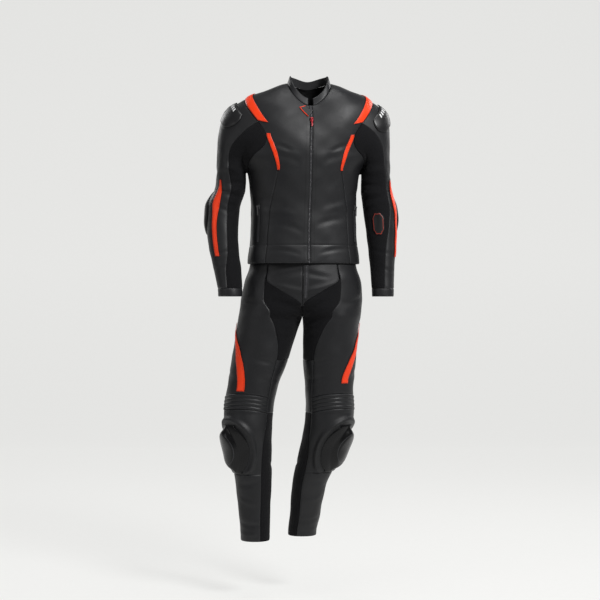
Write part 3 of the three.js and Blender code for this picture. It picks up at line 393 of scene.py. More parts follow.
def leg_point(side, turn, height):
    """A place on a half of the trousers: its turn from the outside over the front, and its height."""
    turn, height = arrays(turn, height)
    leg = LEGS[side]
    sin, cos = np.sin(np.radians(turn)), np.cos(np.radians(turn))
    out, half = leg["out"](height), leg["half"](height)
    limit = np.cos(np.radians(centre_turn(side, height)))
    shift = -out - half * signed_power(limit, LEG_ROUNDNESS)
    share = np.clip(cos / np.minimum(limit, -1e-6), 0, 1)
    away = out + half * signed_power(cos, LEG_ROUNDNESS) + np.where(height > CROTCH, shift * share, 0)
    deep = np.where(sin > 0, leg["front"](height), leg["back"](height))
    return np.stack([TROUSER_MIDDLE + SIDES[side] * away,
                     leg["y"](height) - deep * signed_power(sin, LEG_ROUNDNESS), height], axis=-1)


def leg_normal(side, turn, height):
    turn, height = arrays(turn, height)
    limit = centre_turn(side, height)
    free = np.where(turn < 180, np.minimum(turn, limit - 1.5), np.maximum(turn, 361.5 - limit))
    free = np.where(limit > 179.9, turn, free)
    inside = np.stack([TROUSER_MIDDLE + SIDES[side] * LEGS[side]["out"](height),
                       LEGS[side]["y"](height), height], axis=-1)
    return normal_at(lambda a, b: leg_point(side, a, b), inside, free, height, 1, 1.0)


# Creases. Each is a soft ridge with a hollow at its sides, along a line from one place to another on its
# form. Places are degrees across and a level; widths and depths are in millimetres. A negative depth is a
# hollow with a ridge at each side.
CREASE_COLUMNS = ("form", "across_1", "level_1", "across_2", "level_2", "width", "depth")
CREASES = (
    # the inner elbows, where the arm is a little bent
    ("sleeve_right", -70, 1.35, 20, 1.62, 9, -3.4),
    ("sleeve_right", -80, 1.62, 10, 1.80, 8, 3.0),
    ("sleeve_right", -75, 1.95, 30, 1.86, 9, -3.6),
    ("sleeve_right", -85, 2.20, 0, 2.10, 8, 2.6),
    ("sleeve_right", -60, 2.55, 25, 2.30, 9, -2.4),
    ("sleeve_left", -70, 1.40, 25, 1.66, 9, -3.4),
    ("sleeve_left", -85, 1.70, 10, 1.84, 8, 3.0),
    ("sleeve_left", -75, 2.00, 35, 1.92, 9, -3.4),
    ("sleeve_left", -85, 2.25, 5, 2.14, 8, 2.4),
    # the upper sleeves, which hang from the shoulder
    ("sleeve_right", -60, 0.55, 30, 1.05, 12, -3.0),
    ("sleeve_right", -50, 0.95, 60, 1.30, 12, 2.6),
    ("sleeve_right", 60, 1.25, 120, 1.50, 12, -2.2),
    ("sleeve_left", -60, 0.60, 35, 1.10, 12, -3.0),
    ("sleeve_left", -50, 1.00, 60, 1.32, 12, 2.6),
    ("sleeve_left", 60, 1.28, 120, 1.55, 12, -2.2),
    ("sleeve_right", 120, 0.70, 230, 1.25, 13, -2.8),
    ("sleeve_left", 120, 0.72, 230, 1.28, 13, -2.8),
    ("sleeve_right", 190, 1.55, 262, 1.35, 11, 2.4),
    ("sleeve_left", 190, 1.58, 262, 1.38, 11, 2.4),
    # the forearms above the cuffs
    ("sleeve_right", -60, 3.55, 40, 3.85, 8, -1.8),
    ("sleeve_right", -20, 4.15, 90, 4.35, 8, -1.6),
    ("sleeve_left", -60, 3.60, 40, 3.80, 8, -1.8),
    ("sleeve_left", -20, 4.20, 90, 4.38, 8, -1.6),
    # the jacket's waist and hem
    ("body", -52, 1180, -8, 1150, 14, -1.7),
    ("body", 10, 1172, 55, 1196, 14, -1.7),
    ("body", -75, 1215, -20, 1205, 15, 1.5),
    ("body", 18, 1216, 72, 1234, 15, 1.5),
    ("body", -88, 1262, -35, 1240, 16, -1.9),
    ("body", 36, 1248, 90, 1282, 16, -1.9),
    ("body", -60, 1096, -12, 1082, 10, -1.8),
    ("body", 14, 1084, 66, 1102, 10, -1.8),
    ("body", -48, 1392, -14, 1366, 18, -1.4),
    ("body", 16, 1368, 46, 1396, 18, -1.4),
    ("body", -46, 1442, -26, 1402, 16, -1.3),
    ("body", 28, 1404, 47, 1446, 16, -1.3),
    ("body", 130, 1190, 230, 1190, 14, -2.4),
    ("body", 120, 1225, 236, 1232, 13, 2.2),
    ("body", 128, 1262, 226, 1252, 14, -2.0),
    ("body", 100, 1300, 138, 1345, 15, -2.4),
    ("body", 260, 1300, 222, 1345, 15, -2.4),
    # the trousers at the lap, crotch and seat
    ("leg_right", 98, 1040, 60, 1012, 11, -2.4),
    ("leg_left", 98, 1038, 62, 1010, 11, -2.4),
    ("leg_right", 110, 962, 55, 1000, 11, 2.6),
    ("leg_left", 110, 960, 55, 1000, 11, 2.6),
    ("leg_right", 150, 902, 66, 946, 11, -3.2),
    ("leg_left", 150, 902, 66, 946, 11, -3.2),
    ("leg_right", 165, 868, 78, 896, 11, -2.8),
    ("leg_left", 165, 866, 78, 896, 11, -2.8),
    ("leg_right", 60, 930, 5, 952, 14, -2.4),
    ("leg_left", 60, 930, 5, 954, 14, -2.4),
    ("leg_right", 170, 830, 100, 846, 11, 2.2),
    ("leg_left", 170, 832, 100, 846, 11, 2.2),
    ("leg_right", 200, 880, 300, 905, 14, -3.0),
    ("leg_left", 200, 880, 300, 905, 14, -3.0),
    ("leg_right", 205, 850, 310, 862, 14, 2.4),
    ("leg_left", 205, 850, 310, 862, 14, 2.4),
    # the thighs above the knees
    ("leg_right", 150, 742, 70, 764, 13, -2.2),
    ("leg_left", 150, 742, 70, 764, 13, -2.2),
    ("leg_right", 160, 690, 95, 702, 12, -2.2),
    ("leg_left", 160, 690, 95, 702, 12, -2.2),
    ("leg_right", 50, 690, -10, 720, 13, -2.0),
    ("leg_left", 50, 690, -10, 722, 13, -2.0),
    # behind the knees and down the calves
    ("leg_right", 180, 560, 320, 572, 11, -3.2),
    ("leg_left", 180, 560, 320, 572, 11, -3.2),
    ("leg_right", 185, 528, 325, 532, 10, 2.8),
    ("leg_left", 185, 528, 325, 532, 10, 2.8),
    ("leg_right", 180, 494, 320, 486, 11, -3.0),
    ("leg_left", 180, 494, 320, 486, 11, -3.0),
    ("leg_right", 150, 430, 200, 408, 11, -2.4),
    ("leg_left", 150, 430, 200, 408, 11, -2.4),
    # the shins and ankles
    ("leg_right", 110, 372, 40, 360, 11, -2.0),
    ("leg_left", 110, 372, 40, 360, 11, -2.0),
    ("leg_right", 120, 300, 30, 318, 11, 1.8),
    ("leg_left", 120, 300, 30, 318, 11, 1.8),
    ("leg_right", 130, 236, 20, 246, 9, -2.2),
    ("leg_left", 130, 236, 20, 246, 9, -2.2),
    ("leg_right", 110, 208, 0, 214, 8, 1.6),
    ("leg_left", 110, 208, 0, 214, 8, 1.6),
)
# Millimetres to a degree across and to a unit of level, for each kind of form.
CREASE_SCALE = {"body": (2.7, 1), "sleeve": (0.92, REACH_STEP), "leg": (1.4, 1)}

# Slow waves in the leather: wavelength along each axis in millimetres, and height.
WAVE_COLUMNS = ("x", "y", "z", "phase", "height")
WAVES = (
    (97, 151, 71, 0.4, 0.24),
    (-79, 113, 59, 2.1, 0.18),
    (163, -89, 127, 4.4, 0.40),
    (47, 61, -53, 1.3, 0.07),
    (-37, 47, 43, 3.6, 0.05),
)


def waves(p):
    total = np.zeros(p.shape[:-1])
    for x, y, z, phase, height in WAVES:
        total += height * np.sin(2 * np.pi * (p[..., 0] / x + p[..., 1] / y + p[..., 2] / z) + phase)
    return total


def creases(form, across, level):
    """The height of all creases of a form at its places, in millimetres."""
    per_degree, per_level = CREASE_SCALE[form.split("_")[0]]
    total = np.zeros(across.shape)
    for name, a1, l1, a2, l2, width, depth in CREASES:
        if name != form:
            continue
        middle = (a1 + a2) / 2
        x = (np.mod(across - middle + 180, 360) - 180) * per_degree
        y = (level - (l1 + l2) / 2) * per_level
        end = np.array([(a2 - a1) / 2 * per_degree, (l2 - l1) / 2 * per_level])
        half = np.hypot(*end)
        along = (x * end[0] + y * end[1]) / half
        away = (y * end[0] - x * end[1]) / half
        bend = 0.10 * half * (1 - (along / half) ** 2)
        t = (away - np.where(np.abs(along) < half, bend, 0)) / width
        fade = np.clip(1 - (np.abs(along) / half) ** 2, 0, 1) ** 0.8
        total += depth * fade * np.exp(-t * t) * np.cos(1.7 * t)
    return total


HEM_SEAM = 1113.0  # the seam of the jacket's hem band
HEM_SEAM_LEVELS = (HEM_SEAM - 3.5, HEM_SEAM - 1.4, HEM_SEAM, HEM_SEAM + 1.4, HEM_SEAM + 3.5)


def relief(form, across, level, p):
    """How far the worn cloth stands out from its form."""
    sizes = bpy.context.scene.suit_sizes
    height = creases(form, across, level)
    if form == "body":
        edge = np.abs(np.mod(across + 180, 360) - 180)
        front = np.where(edge < 90, ARMHOLE["front"], ARMHOLE["back"])
        hole = armhole_edge(level, front)
        gap = np.abs(np.where(edge < 90, edge - hole, (180 - edge) - hole))
        near = (level > ARMHOLE_BOTTOM - 12) & (level < ARMHOLE_TOP + 12)
        height = height * np.where(near, np.clip(gap / 14, 0, 1), 1)
        height = height * np.clip((level - JACKET_HEM) / 25, 0, 1)
        height = height - 0.9 * np.exp(-((level - HEM_SEAM) / 1.6) ** 2)
        neck = np.clip((neckline_level(across) - level) / 12, 0, 1)
        return (height + waves(p)) * neck * sizes.crease
    elif form.startswith("sleeve"):
        height = height * ease(np.clip(level / 0.25, 0, 1))
        cuff = 1 + (CAP_END - WRIST) / REACH_STEP
        height = height * np.clip((cuff - level) / 0.3, 0, 1)
    else:
        height = height * np.clip((level - ANKLE) / 25, 0, 1) * np.clip((HIP_TOP - level) / 40, 0, 1)
    return (height + waves(p)) * sizes.crease


FORMS = {"body": (body_point, body_normal)}
for _side in SIDES:
    FORMS[f"sleeve_{_side}"] = (
        lambda a, b, side=_side: sleeve_point(side, a, b),
        lambda a, b, side=_side: sleeve_normal(side, a, b))
    FORMS[f"leg_{_side}"] = (
        lambda a, b, side=_side: leg_point(side, a, b),
        lambda a, b, side=_side: leg_normal(side, a, b))


def spread(length, cell, soft=(0.0009, 0.0022, 0.0045)):
    """Shares from 0 to 1 along a length in metres, close together near both ends and else a cell apart."""
    soft = [s for s in soft if s < length * 0.3]
    first = [0] + list(soft)
    middle = length - 2 * first[-1]
    count = max(2, int(math.ceil(middle / cell)))
    inner = [first[-1] + middle * i / count for i in range(1, count)]
    places = first + inner + [length - f for f in reversed(first)]
    return np.array(places) / length


def arc(points, axis):
    """Distances along a grid of points, from its first row or column."""
    step = np.linalg.norm(np.diff(points, axis=axis), axis=-1)
    start = np.zeros_like(np.take(step, [0], axis=axis))
    return np.concatenate([start, np.cumsum(step, axis=axis)], axis=axis)


def grid_area(points):
    a = points[1:, 1:] - points[:-1, :-1]
    b = points[1:, :-1] - points[:-1, 1:]
    return float(np.linalg.norm(np.cross(a, b), axis=-1).sum() / 2)


def make_object(name, points, faces, materials, face_materials=None, maps=None):
    """An object in the frame from points in millimetres above the ground."""
    mesh = bpy.data.meshes.new(name)
    places = (points - np.array([0, 0, CARRY_HEIGHT])) * MM
    mesh.vertices.add(len(places))
    mesh.vertices.foreach_set("co", places.astype(np.float32).ravel())
    faces = np.asarray(faces, dtype=np.int32)
    mesh.loops.add(faces.size)
    mesh.loops.foreach_set("vertex_index", faces.ravel())
    mesh.polygons.add(len(faces))
    mesh.polygons.foreach_set("loop_start", np.arange(len(faces), dtype=np.int32) * faces.shape[1])
    mesh.update(calc_edges=True)
    mesh.validate()
    for material in materials:
        mesh.materials.append(material)
    if face_materials is not None:
        mesh.polygons.foreach_set("material_index", face_materials.astype(np.int32))
    for map_name, values in (maps or {}).items():
        layer = mesh.uv_layers.new(name=map_name)
        layer.data.foreach_set("uv", values[faces.ravel()].astype(np.float32).ravel())
    mesh.polygons.foreach_set("use_smooth", np.ones(len(faces), dtype=bool))
    mesh.set_sharp_from_angle(angle=math.radians(48))
    piece = bpy.data.objects.new(name, mesh)
    bpy.context.scene.collection.objects.link(piece)
    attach(piece, BODY)
    return piece


def grid_faces(nv, nu, offset=0, flip=False):
    v, u = np.meshgrid(np.arange(nv - 1), np.arange(nu - 1), indexing="ij")
    a = (offset + v * nu + u).ravel()
    quads = np.stack([a, a + 1, a + nu + 1, a + nu], axis=1)
    return quads[:, ::-1] if flip else quads


def rim_faces(nv, nu):
    """Faces that close the edges between an outer grid and the inner grid that follows it."""
    size = nv * nu
    ring = ([(0, u) for u in range(nu - 1)] + [(v, nu - 1) for v in range(nv - 1)]
            + [(nv - 1, u) for u in range(nu - 1, 0, -1)] + [(v, 0) for v in range(nv - 1, 0, -1)])
    index = np.array([v * nu + u for v, u in ring])
    following = np.roll(index, -1)
    return np.stack([index, index + size, following + size, following], axis=1)


def shell(name, form, across, level, materials, thick=LEATHER, outer=0, inner=None, sewn=True, dip=None):
    """A closed wall over a grid of places on a form. outer and inner are heights in millimetres, or functions
    of the shares (u, v) and the places. Its last material lies on the inside."""
    sizes = bpy.context.scene.suit_sizes
    point, normal = FORMS[form]
    across, level = arrays(across, level)
    base, out = point(across, level), normal(across, level)
    nv, nu = across.shape
    from_left, from_top = arc(base, 1), arc(base, 0)
    side = np.minimum(from_left, from_left[:, -1:] - from_left)
    end = np.minimum(from_top, from_top[-1:] - from_top)
    u, v = np.broadcast_arrays(np.linspace(0, 1, nu)[None, :], np.linspace(0, 1, nv)[:, None])
    rise = relief(form, across, level, base)
    top = outer(u, v, across, level) if callable(outer) else outer
    under = inner(u, v, across, level) if callable(inner) else (top - thick if inner is None else inner)
    if sewn:
        depth = (sizes.seam_depth if dip is None else dip) / MM
        near = np.clip(np.minimum(side, end) / (sizes.seam_width / MM), 0, 1)
        top = top - depth * (1 - near) ** 2
    outer_points = base + out * (rise + top)[..., None]
    inner_points = base + out * (rise + under)[..., None]
    if form.startswith("leg"):
        # The two halves of the trousers meet on the middle, so their edges there stay on it.
        centre = (level > CROTCH) & (np.abs(base[..., 0] - TROUSER_MIDDLE) < 0.01)
        outer_points[centre, 0] = TROUSER_MIDDLE
        inner_points[centre, 0] = TROUSER_MIDDLE
    points = np.concatenate([outer_points.reshape(-1, 3), inner_points.reshape(-1, 3)])
    ahead = outer_points[1, nu // 2] - outer_points[0, nu // 2]
    aside = outer_points[0, nu // 2 + 1] - outer_points[0, nu // 2]
    flip = np.dot(np.cross(aside, ahead), out[0, nu // 2]) < 0
    shown = grid_faces(nv, nu, 0, flip)
    hidden = grid_faces(nv, nu, nv * nu, not flip)
    rim = rim_faces(nv, nu)
    rim = rim[:, ::-1] if flip else rim
    faces = np.concatenate([shown, hidden, rim])
    last = len(materials) - 1
    which = np.concatenate([np.zeros(len(shown)), np.full(len(hidden), last), np.zeros(len(rim))])
    middle = from_left[:, nu // 2:nu // 2 + 1]
    first_edge = np.stack([from_left, from_top], axis=-1)
    cloth = np.stack([from_left - middle,
                      np.broadcast_to(from_top[:, nu // 2:nu // 2 + 1], from_left.shape)], axis=-1)
    maps = {"cloth": cloth, "first_edge": first_edge, "seam_side": np.stack([side, from_top], -1),
            "seam_end": np.stack([end, from_left], -1)}
    maps = {key: np.concatenate([m.reshape(-1, 2)] * 2) * MM for key, m in maps.items()}
    piece = make_object(name, points, faces, materials, which, maps)
    flat = {"width": float(from_left[:, -1].max()) * MM, "length": float(from_top[-1].mean()) * MM,
            "area": grid_area(base) * MM * MM}
    return piece, flat


class Nodes:
    """Adds nodes to a tree and links them: a value that is a socket is linked, and any other is set."""

    def __init__(self, tree):
        self.tree = tree

    def put(self, socket, value):
        if isinstance(value, bpy.types.NodeSocket):
            self.tree.links.new(value, socket)
        else:
            socket.default_value = value

    def add(self, kind, inputs=None, **settings):
        node = self.tree.nodes.new(kind)
        for key, value in settings.items():
            setattr(node, key, value)
        for key, value in (inputs or {}).items():
            self.put(node.inputs[key], value)
        return node

    def math(self, operation, a, b=0.0, clamp=False):
        node = self.add("ShaderNodeMath", operation=operation, use_clamp=clamp)
        self.put(node.inputs[0], a)
        self.put(node.inputs[1], b)
        return node.outputs[0]

    def times(self, a, b):
        return self.math("MULTIPLY", a, b)

    def plus(self, a, b):
        return self.math("ADD", a, b)

    def less(self, a, b):
        return self.math("SUBTRACT", a, b)

    def over(self, a, b):
        return self.math("DIVIDE", a, b)

    def place(self, uv_map):
        """The outputs X and Y of one of a piece's maps, in metres."""
        place = self.add("ShaderNodeUVMap", uv_map=uv_map).outputs["UV"]
        return self.add("ShaderNodeSeparateXYZ", {"Vector": place}).outputs

    def mix(self, factor, a, b):
        node = self.add("ShaderNodeMix", data_type="RGBA")
        self.put(node.inputs["Factor"], factor)
        self.put(node.inputs["A"], a)
        self.put(node.inputs["B"], b)
        return node.outputs["Result"]

    def steps(self, value, low, high, first=0.0, last=1.0):
        node = self.add("ShaderNodeMapRange", interpolation_type="SMOOTHSTEP")
        for key, number in (("Value", value), ("From Min", low), ("From Max", high),
                            ("To Min", first), ("To Max", last)):
            self.put(node.inputs[key], number)
        return node.outputs["Result"]

    def group(self, name, **values):
        node = self.add("ShaderNodeGroup", node_tree=effect(name))
        for key, value in values.items():
            self.put(node.inputs[key.replace("_", " ").capitalize()], value)
        return node.outputs


def new_effect(name, inputs, outputs):
    tree = bpy.data.node_groups.new(name, "ShaderNodeTree")
    for socket, default in inputs.items():
        made = tree.interface.new_socket(name=socket, in_out="INPUT", socket_type="NodeSocketFloat")
        made.default_value = default
    for socket in outputs:
        tree.interface.new_socket(name=socket, in_out="OUTPUT", socket_type="NodeSocketFloat")
    nodes = Nodes(tree)
    return nodes, nodes.add("NodeGroupInput").outputs, nodes.add("NodeGroupOutput").inputs


def leather_grain():
    """Pebbled grain: the height of the pebbles, and slow patches of polish."""
    nodes, given, out = new_effect("Leather grain", {"Width": 0.0016, "Wear": 1.0}, ("Height", "Polish"))
    place = nodes.add("ShaderNodeTexCoord").outputs["Object"]
    count = nodes.over(1.0, given["Width"])
    pebble = nodes.add("ShaderNodeTexVoronoi", {"Vector": place, "Scale": count}, feature="SMOOTH_F1")
    vein = nodes.add("ShaderNodeTexNoise", {"Vector": place, "Scale": 260.0, "Detail": 3.0})
    patch = nodes.add("ShaderNodeTexNoise", {"Vector": place, "Scale": 9.0, "Detail": 4.0, "Roughness": 0.6})
    rounded = nodes.less(1.0, nodes.math("POWER", pebble.outputs["Distance"], 2.0))
    nodes.put(out["Height"], nodes.plus(rounded, nodes.times(vein.outputs["Fac"], 0.5)))
    nodes.put(out["Polish"], nodes.times(nodes.steps(patch.outputs["Fac"], 0.35, 0.7), given["Wear"]))
    return nodes.tree


def sewn_edge():
    """What a sewn edge shows: the stitches, their height, and the hollow at the seam, which also gives the
    painted shade that darkens the seam's colour.
    """
    nodes, given, out = new_effect(
        "Sewn edge", {"Inset": 0.0032, "Stitch": 0.0042, "Ends": 1.0}, ("Stitches", "Height", "Seam shade"))
    total = None
    hollow = None
    for map_name, share in (("seam_side", None), ("seam_end", given["Ends"])):
        place = nodes.place(map_name)
        away, run = place["X"], place["Y"]
        off = nodes.math("ABSOLUTE", nodes.less(away, given["Inset"]))
        row = nodes.steps(off, 0.0003, 0.0008, 1.0, 0.0)
        beat = nodes.math("FRACT", nodes.over(run, given["Stitch"]))
        dash = nodes.steps(nodes.math("ABSOLUTE", nodes.less(beat, 0.5)), 0.30, 0.38, 1.0, 0.0)
        line = nodes.times(row, dash)
        low = nodes.steps(away, 0.0, 0.0022, 1.0, 0.0)
        if share is not None:
            line = nodes.times(line, share)
            low = nodes.times(low, share)
        total = line if total is None else nodes.math("MAXIMUM", total, line)
        hollow = low if hollow is None else nodes.math("MAXIMUM", hollow, low)
    nodes.put(out["Stitches"], total)
    nodes.put(out["Height"], nodes.less(total, nodes.times(hollow, 1.5)))
    # Seam shade is the hollow's mask; the materials use it as painted shade in the seams.
    nodes.put(out["Seam shade"], hollow)
    return nodes.tree


def woven_ribs():
    """The elastic ribs of a stretch panel, across its length: their height and a fine weave."""
    nodes, given, out = new_effect("Woven ribs", {"Width": 0.0036, "Weave": 0.0008}, ("Height", "Thread"))
    place = nodes.place("cloth")
    wander = nodes.add("ShaderNodeTexNoise", {
        "Vector": nodes.add("ShaderNodeTexCoord").outputs["Object"], "Scale": 40.0, "Detail": 2.0})
    along = nodes.plus(place["Y"], nodes.times(wander.outputs["Fac"], 0.004))
    rib = nodes.math("SINE", nodes.times(nodes.over(along, given["Width"]), 2 * math.pi))
    rows = nodes.math("SINE", nodes.times(nodes.over(place["Y"], given["Weave"]), 2 * math.pi))
    cols = nodes.math("SINE", nodes.times(nodes.over(place["X"], given["Weave"]), 2 * math.pi))
    thread = nodes.times(rows, cols)
    nodes.put(out["Height"], nodes.plus(rib, nodes.times(thread, 0.15)))
    nodes.put(out["Thread"], nodes.steps(thread, -1.0, 1.0))
    return nodes.tree


def handling_marks():
    """Fine scuffs and dust that lie on any finish: a mask of each."""
    nodes, given, out = new_effect("Handling marks", {"Scale": 30.0}, ("Scuffs", "Dust"))
    place = nodes.add("ShaderNodeTexCoord").outputs["Object"]
    scuff = nodes.add("ShaderNodeTexNoise", {"Vector": place, "Scale": given["Scale"], "Detail": 8.0,
                                             "Roughness": 0.75, "Distortion": 1.2})
    dust = nodes.add("ShaderNodeTexNoise", {"Vector": place, "Scale": 900.0, "Detail": 1.0})
    nodes.put(out["Scuffs"], nodes.steps(scuff.outputs["Fac"], 0.56, 0.72))
    nodes.put(out["Dust"], nodes.steps(dust.outputs["Fac"], 0.72, 0.80))
    return nodes.tree


EFFECTS = {"Leather grain": leather_grain, "Sewn edge": sewn_edge, "Woven ribs": woven_ribs,
           "Handling marks": handling_marks}


def effect(name):
    return bpy.data.node_groups.get(name) or EFFECTS[name]()


def opaque(value):
    return (*value, 1.0)


def new_material(name):
    made = bpy.data.materials.new(name)
    made.use_nodes = True
    nodes = Nodes(made.node_tree)
    return made, nodes, made.node_tree.nodes["Principled BSDF"].inputs


def hide_material(name, base, light, thread, roughness=(0.40, 0.56), marks=None, coat=0.0):
    """Sewn leather: grain, seam rows in a thread colour, hollow seams darkened by painted shade, and a little
    rubbing.
    """
    sizes = bpy.context.scene.suit_sizes
    made, nodes, shader = new_material(name)
    grain = nodes.group("Leather grain", width=sizes.grain)
    sewn = nodes.group("Sewn edge", inset=sizes.stitch_inset, stitch=sizes.stitch)
    worn = nodes.group("Handling marks", scale=26.0)
    tint = nodes.mix(nodes.times(grain["Polish"], 0.55), opaque(base), opaque(light))
    if marks:
        tint = marks(nodes, tint)
    # Painted shade: the colour darkens to a quarter of the base in the seams' hollows.
    tint = nodes.mix(nodes.times(sewn["Seam shade"], 0.55), tint, opaque([c * 0.25 for c in base]))
    tint = nodes.mix(nodes.times(sewn["Stitches"], 0.85), tint, opaque(thread))
    tint = nodes.mix(nodes.times(worn["Dust"], 0.10), tint, (0.3, 0.29, 0.27, 1.0))
    nodes.put(shader["Base Color"], tint)
    sheen = nodes.times(grain["Polish"], roughness[0] - roughness[1])
    rough = nodes.plus(sheen, roughness[1])
    rough = nodes.math("ADD", rough, nodes.times(worn["Scuffs"], 0.10), clamp=True)
    nodes.put(shader["Roughness"], rough)
    height = nodes.plus(nodes.times(grain["Height"], 0.5), sewn["Height"])
    bump = nodes.add("ShaderNodeBump", {"Height": height, "Strength": 0.45, "Distance": 0.0006})
    nodes.put(shader["Normal"], bump.outputs["Normal"])
    shader["Specular IOR Level"].default_value = 0.32
    shader["Coat Weight"].default_value = coat
    return made


def leather():
    """The charcoal leather of most panels, sewn in a paler thread."""
    colours = bpy.context.scene.suit_colours
    base = tuple(colours.leather)
    return hide_material("Charcoal leather", base, [c * 1.5 for c in base], [c * 2.4 for c in base])


def front_leather():
    """Leather of the fronts, with the placket's row of stitches beside the zip, and painted shade along the
    placket's fold.
    """
    colours = bpy.context.scene.suit_colours
    sizes = bpy.context.scene.suit_sizes
    base = tuple(colours.leather)

    def placket(nodes, tint):
        place = nodes.place("first_edge")
        row = between_values(nodes, place["X"], sizes.placket - 0.0004, sizes.placket + 0.0004, 0.0003)
        # Painted shade: a dark band either side of the placket's stitches, where its fold would lie in shade.
        placket_fold_shade = nodes.steps(nodes.math("ABSOLUTE", nodes.less(place["X"], sizes.placket)),
                           0.0, 0.002, 1.0, 0.0)
        dark = nodes.mix(nodes.times(placket_fold_shade, 0.6), tint, opaque([c * 0.3 for c in base]))
        return nodes.mix(nodes.times(row, 0.7), dark, opaque([c * 0.4 for c in base]))
    return hide_material("Front leather", base, [c * 1.5 for c in base], [c * 0.6 for c in base],
                         marks=placket)


def orange_leather():
    """The bright leather of the bands and stripes, sewn in a dark thread."""
    colours = bpy.context.scene.suit_colours
    base = tuple(colours.orange)
    return hide_material("Bright trim leather", base, [min(1, c * 1.15) for c in base],
                         [c * 0.25 for c in base], (0.36, 0.48))


def stretch_fabric():
    """The ribbed stretch cloth of the sleeves, crotch and calves."""
    colours = bpy.context.scene.suit_colours
    made, nodes, shader = new_material("Stretch fabric")
    base = tuple(colours.stretch)
    ribs = nodes.group("Woven ribs")
    worn = nodes.group("Handling marks", scale=40.0)
    sewn = nodes.group("Sewn edge", inset=0.002, stitch=0.003)
    tint = nodes.mix(nodes.times(ribs["Thread"], 0.7), opaque(base), opaque([c * 2.2 for c in base]))
    tint = nodes.mix(nodes.times(worn["Dust"], 0.12), tint, (0.25, 0.24, 0.23, 1.0))
    # Painted shade: the colour darkens in the seams' hollows.
    tint = nodes.mix(nodes.times(sewn["Seam shade"], 0.5), tint, opaque([c * 0.4 for c in base]))
    nodes.put(shader["Base Color"], tint)
    nodes.put(shader["Roughness"], nodes.plus(0.78, nodes.times(ribs["Thread"], 0.12)))
    bump = nodes.add("ShaderNodeBump", {"Height": ribs["Height"], "Strength": 0.5, "Distance": 0.0006})
    nodes.put(shader["Normal"], bump.outputs["Normal"])
    shader["Specular IOR Level"].default_value = 0.12
    shader["Sheen Weight"].default_value = 0.04
    shader["Sheen Roughness"].default_value = 0.5
    return made


def lining():
    """The mesh inside, seen at the openings."""
    colours = bpy.context.scene.suit_colours
    made, nodes, shader = new_material("Mesh lining")
    base = tuple(colours.lining)
    ribs = nodes.group("Woven ribs", width=0.0016, weave=0.0016)
    nodes.put(shader["Base Color"], nodes.mix(ribs["Thread"], opaque([c * 0.4 for c in base]), opaque(base)))
    bump = nodes.add("ShaderNodeBump", {"Height": ribs["Height"], "Strength": 0.3, "Distance": 0.0004})
    nodes.put(shader["Normal"], bump.outputs["Normal"])
    shader["Roughness"].default_value = 0.9
    return made


def moulded(name, base, roughness, flashes=None, coat=0.0, grain=0.25, shine=0.35):
    """Moulded plastic with a fine texture and light scuffs. flashes adds a second colour."""
    made, nodes, shader = new_material(name)
    worn = nodes.group("Handling marks", scale=34.0)
    skin = nodes.group("Leather grain", width=0.0011)
    tint = nodes.mix(nodes.times(worn["Scuffs"], 0.35), opaque(base), opaque([c * 2.0 for c in base]))
    if flashes:
        tint = flashes(nodes, tint)
    tint = nodes.mix(nodes.times(worn["Dust"], 0.08), tint, (0.35, 0.34, 0.32, 1.0))
    nodes.put(shader["Base Color"], tint)
    nodes.put(shader["Roughness"], nodes.math(
        "ADD", roughness, nodes.times(worn["Scuffs"], 0.18), clamp=True))
    bump = nodes.add("ShaderNodeBump", {"Height": skin["Height"], "Strength": grain, "Distance": 0.0003})
    nodes.put(shader["Normal"], bump.outputs["Normal"])
    shader["Specular IOR Level"].default_value = shine
    shader["Coat Weight"].default_value = coat
    shader["Coat Roughness"].default_value = 0.15
    return made


def cloth_place(nodes):
    """Where a place is on its panel, in metres across and along."""
    place = nodes.place("cloth")
    return place["X"], place["Y"]


def between_values(nodes, value, low, high, soft=0.0006):
    rise = nodes.steps(value, low - soft, low + soft)
    fall = nodes.steps(value, high - soft, high + soft, 1.0, 0.0)
    return nodes.times(rise, fall)


def zip_tape():
    colours = bpy.context.scene.suit_colours
    made, nodes, shader = new_material("Zip tape and teeth")
    base = tuple(colours.zip_tape)
    ribs = nodes.group("Woven ribs", width=0.0012, weave=0.0012)
    across, along = cloth_place(nodes)
    chain = between_values(nodes, across, -0.0022, 0.0022, 0.0003)
    beat = nodes.math("FRACT", nodes.over(along, 0.0026))
    tooth = nodes.steps(nodes.math("ABSOLUTE", nodes.less(beat, 0.5)), 0.2, 0.34, 1.0, 0.0)
    teeth = nodes.times(chain, tooth)
    tint = nodes.mix(ribs["Thread"], opaque(base), opaque([c * 2 for c in base]))
    tint = nodes.mix(teeth, tint, (0.035, 0.035, 0.04, 1.0))
    nodes.put(shader["Base Color"], tint)
    nodes.put(shader["Roughness"], nodes.less(0.8, nodes.times(teeth, 0.45)))
    height = nodes.plus(nodes.times(ribs["Height"], 0.1), teeth)
    bump = nodes.add("ShaderNodeBump", {"Height": height, "Strength": 0.8, "Distance": 0.0008})
    nodes.put(shader["Normal"], bump.outputs["Normal"])
    return made


def zip_metal():
    """Dark red lacquer on cast zip parts, worn at random to the metal."""
    colours = bpy.context.scene.suit_colours
    made, nodes, shader = new_material("Lacquered zip metal")
    base = tuple(colours.zip_metal)
    worn = nodes.group("Handling marks", scale=220.0)
    nodes.put(shader["Base Color"], nodes.mix(worn["Scuffs"], opaque(base), (0.5, 0.42, 0.42, 1.0)))
    nodes.put(shader["Metallic"], nodes.plus(0.5, nodes.times(worn["Scuffs"], 0.4)))
    nodes.put(shader["Roughness"], nodes.plus(0.28, nodes.times(worn["Scuffs"], 0.2)))
    return made


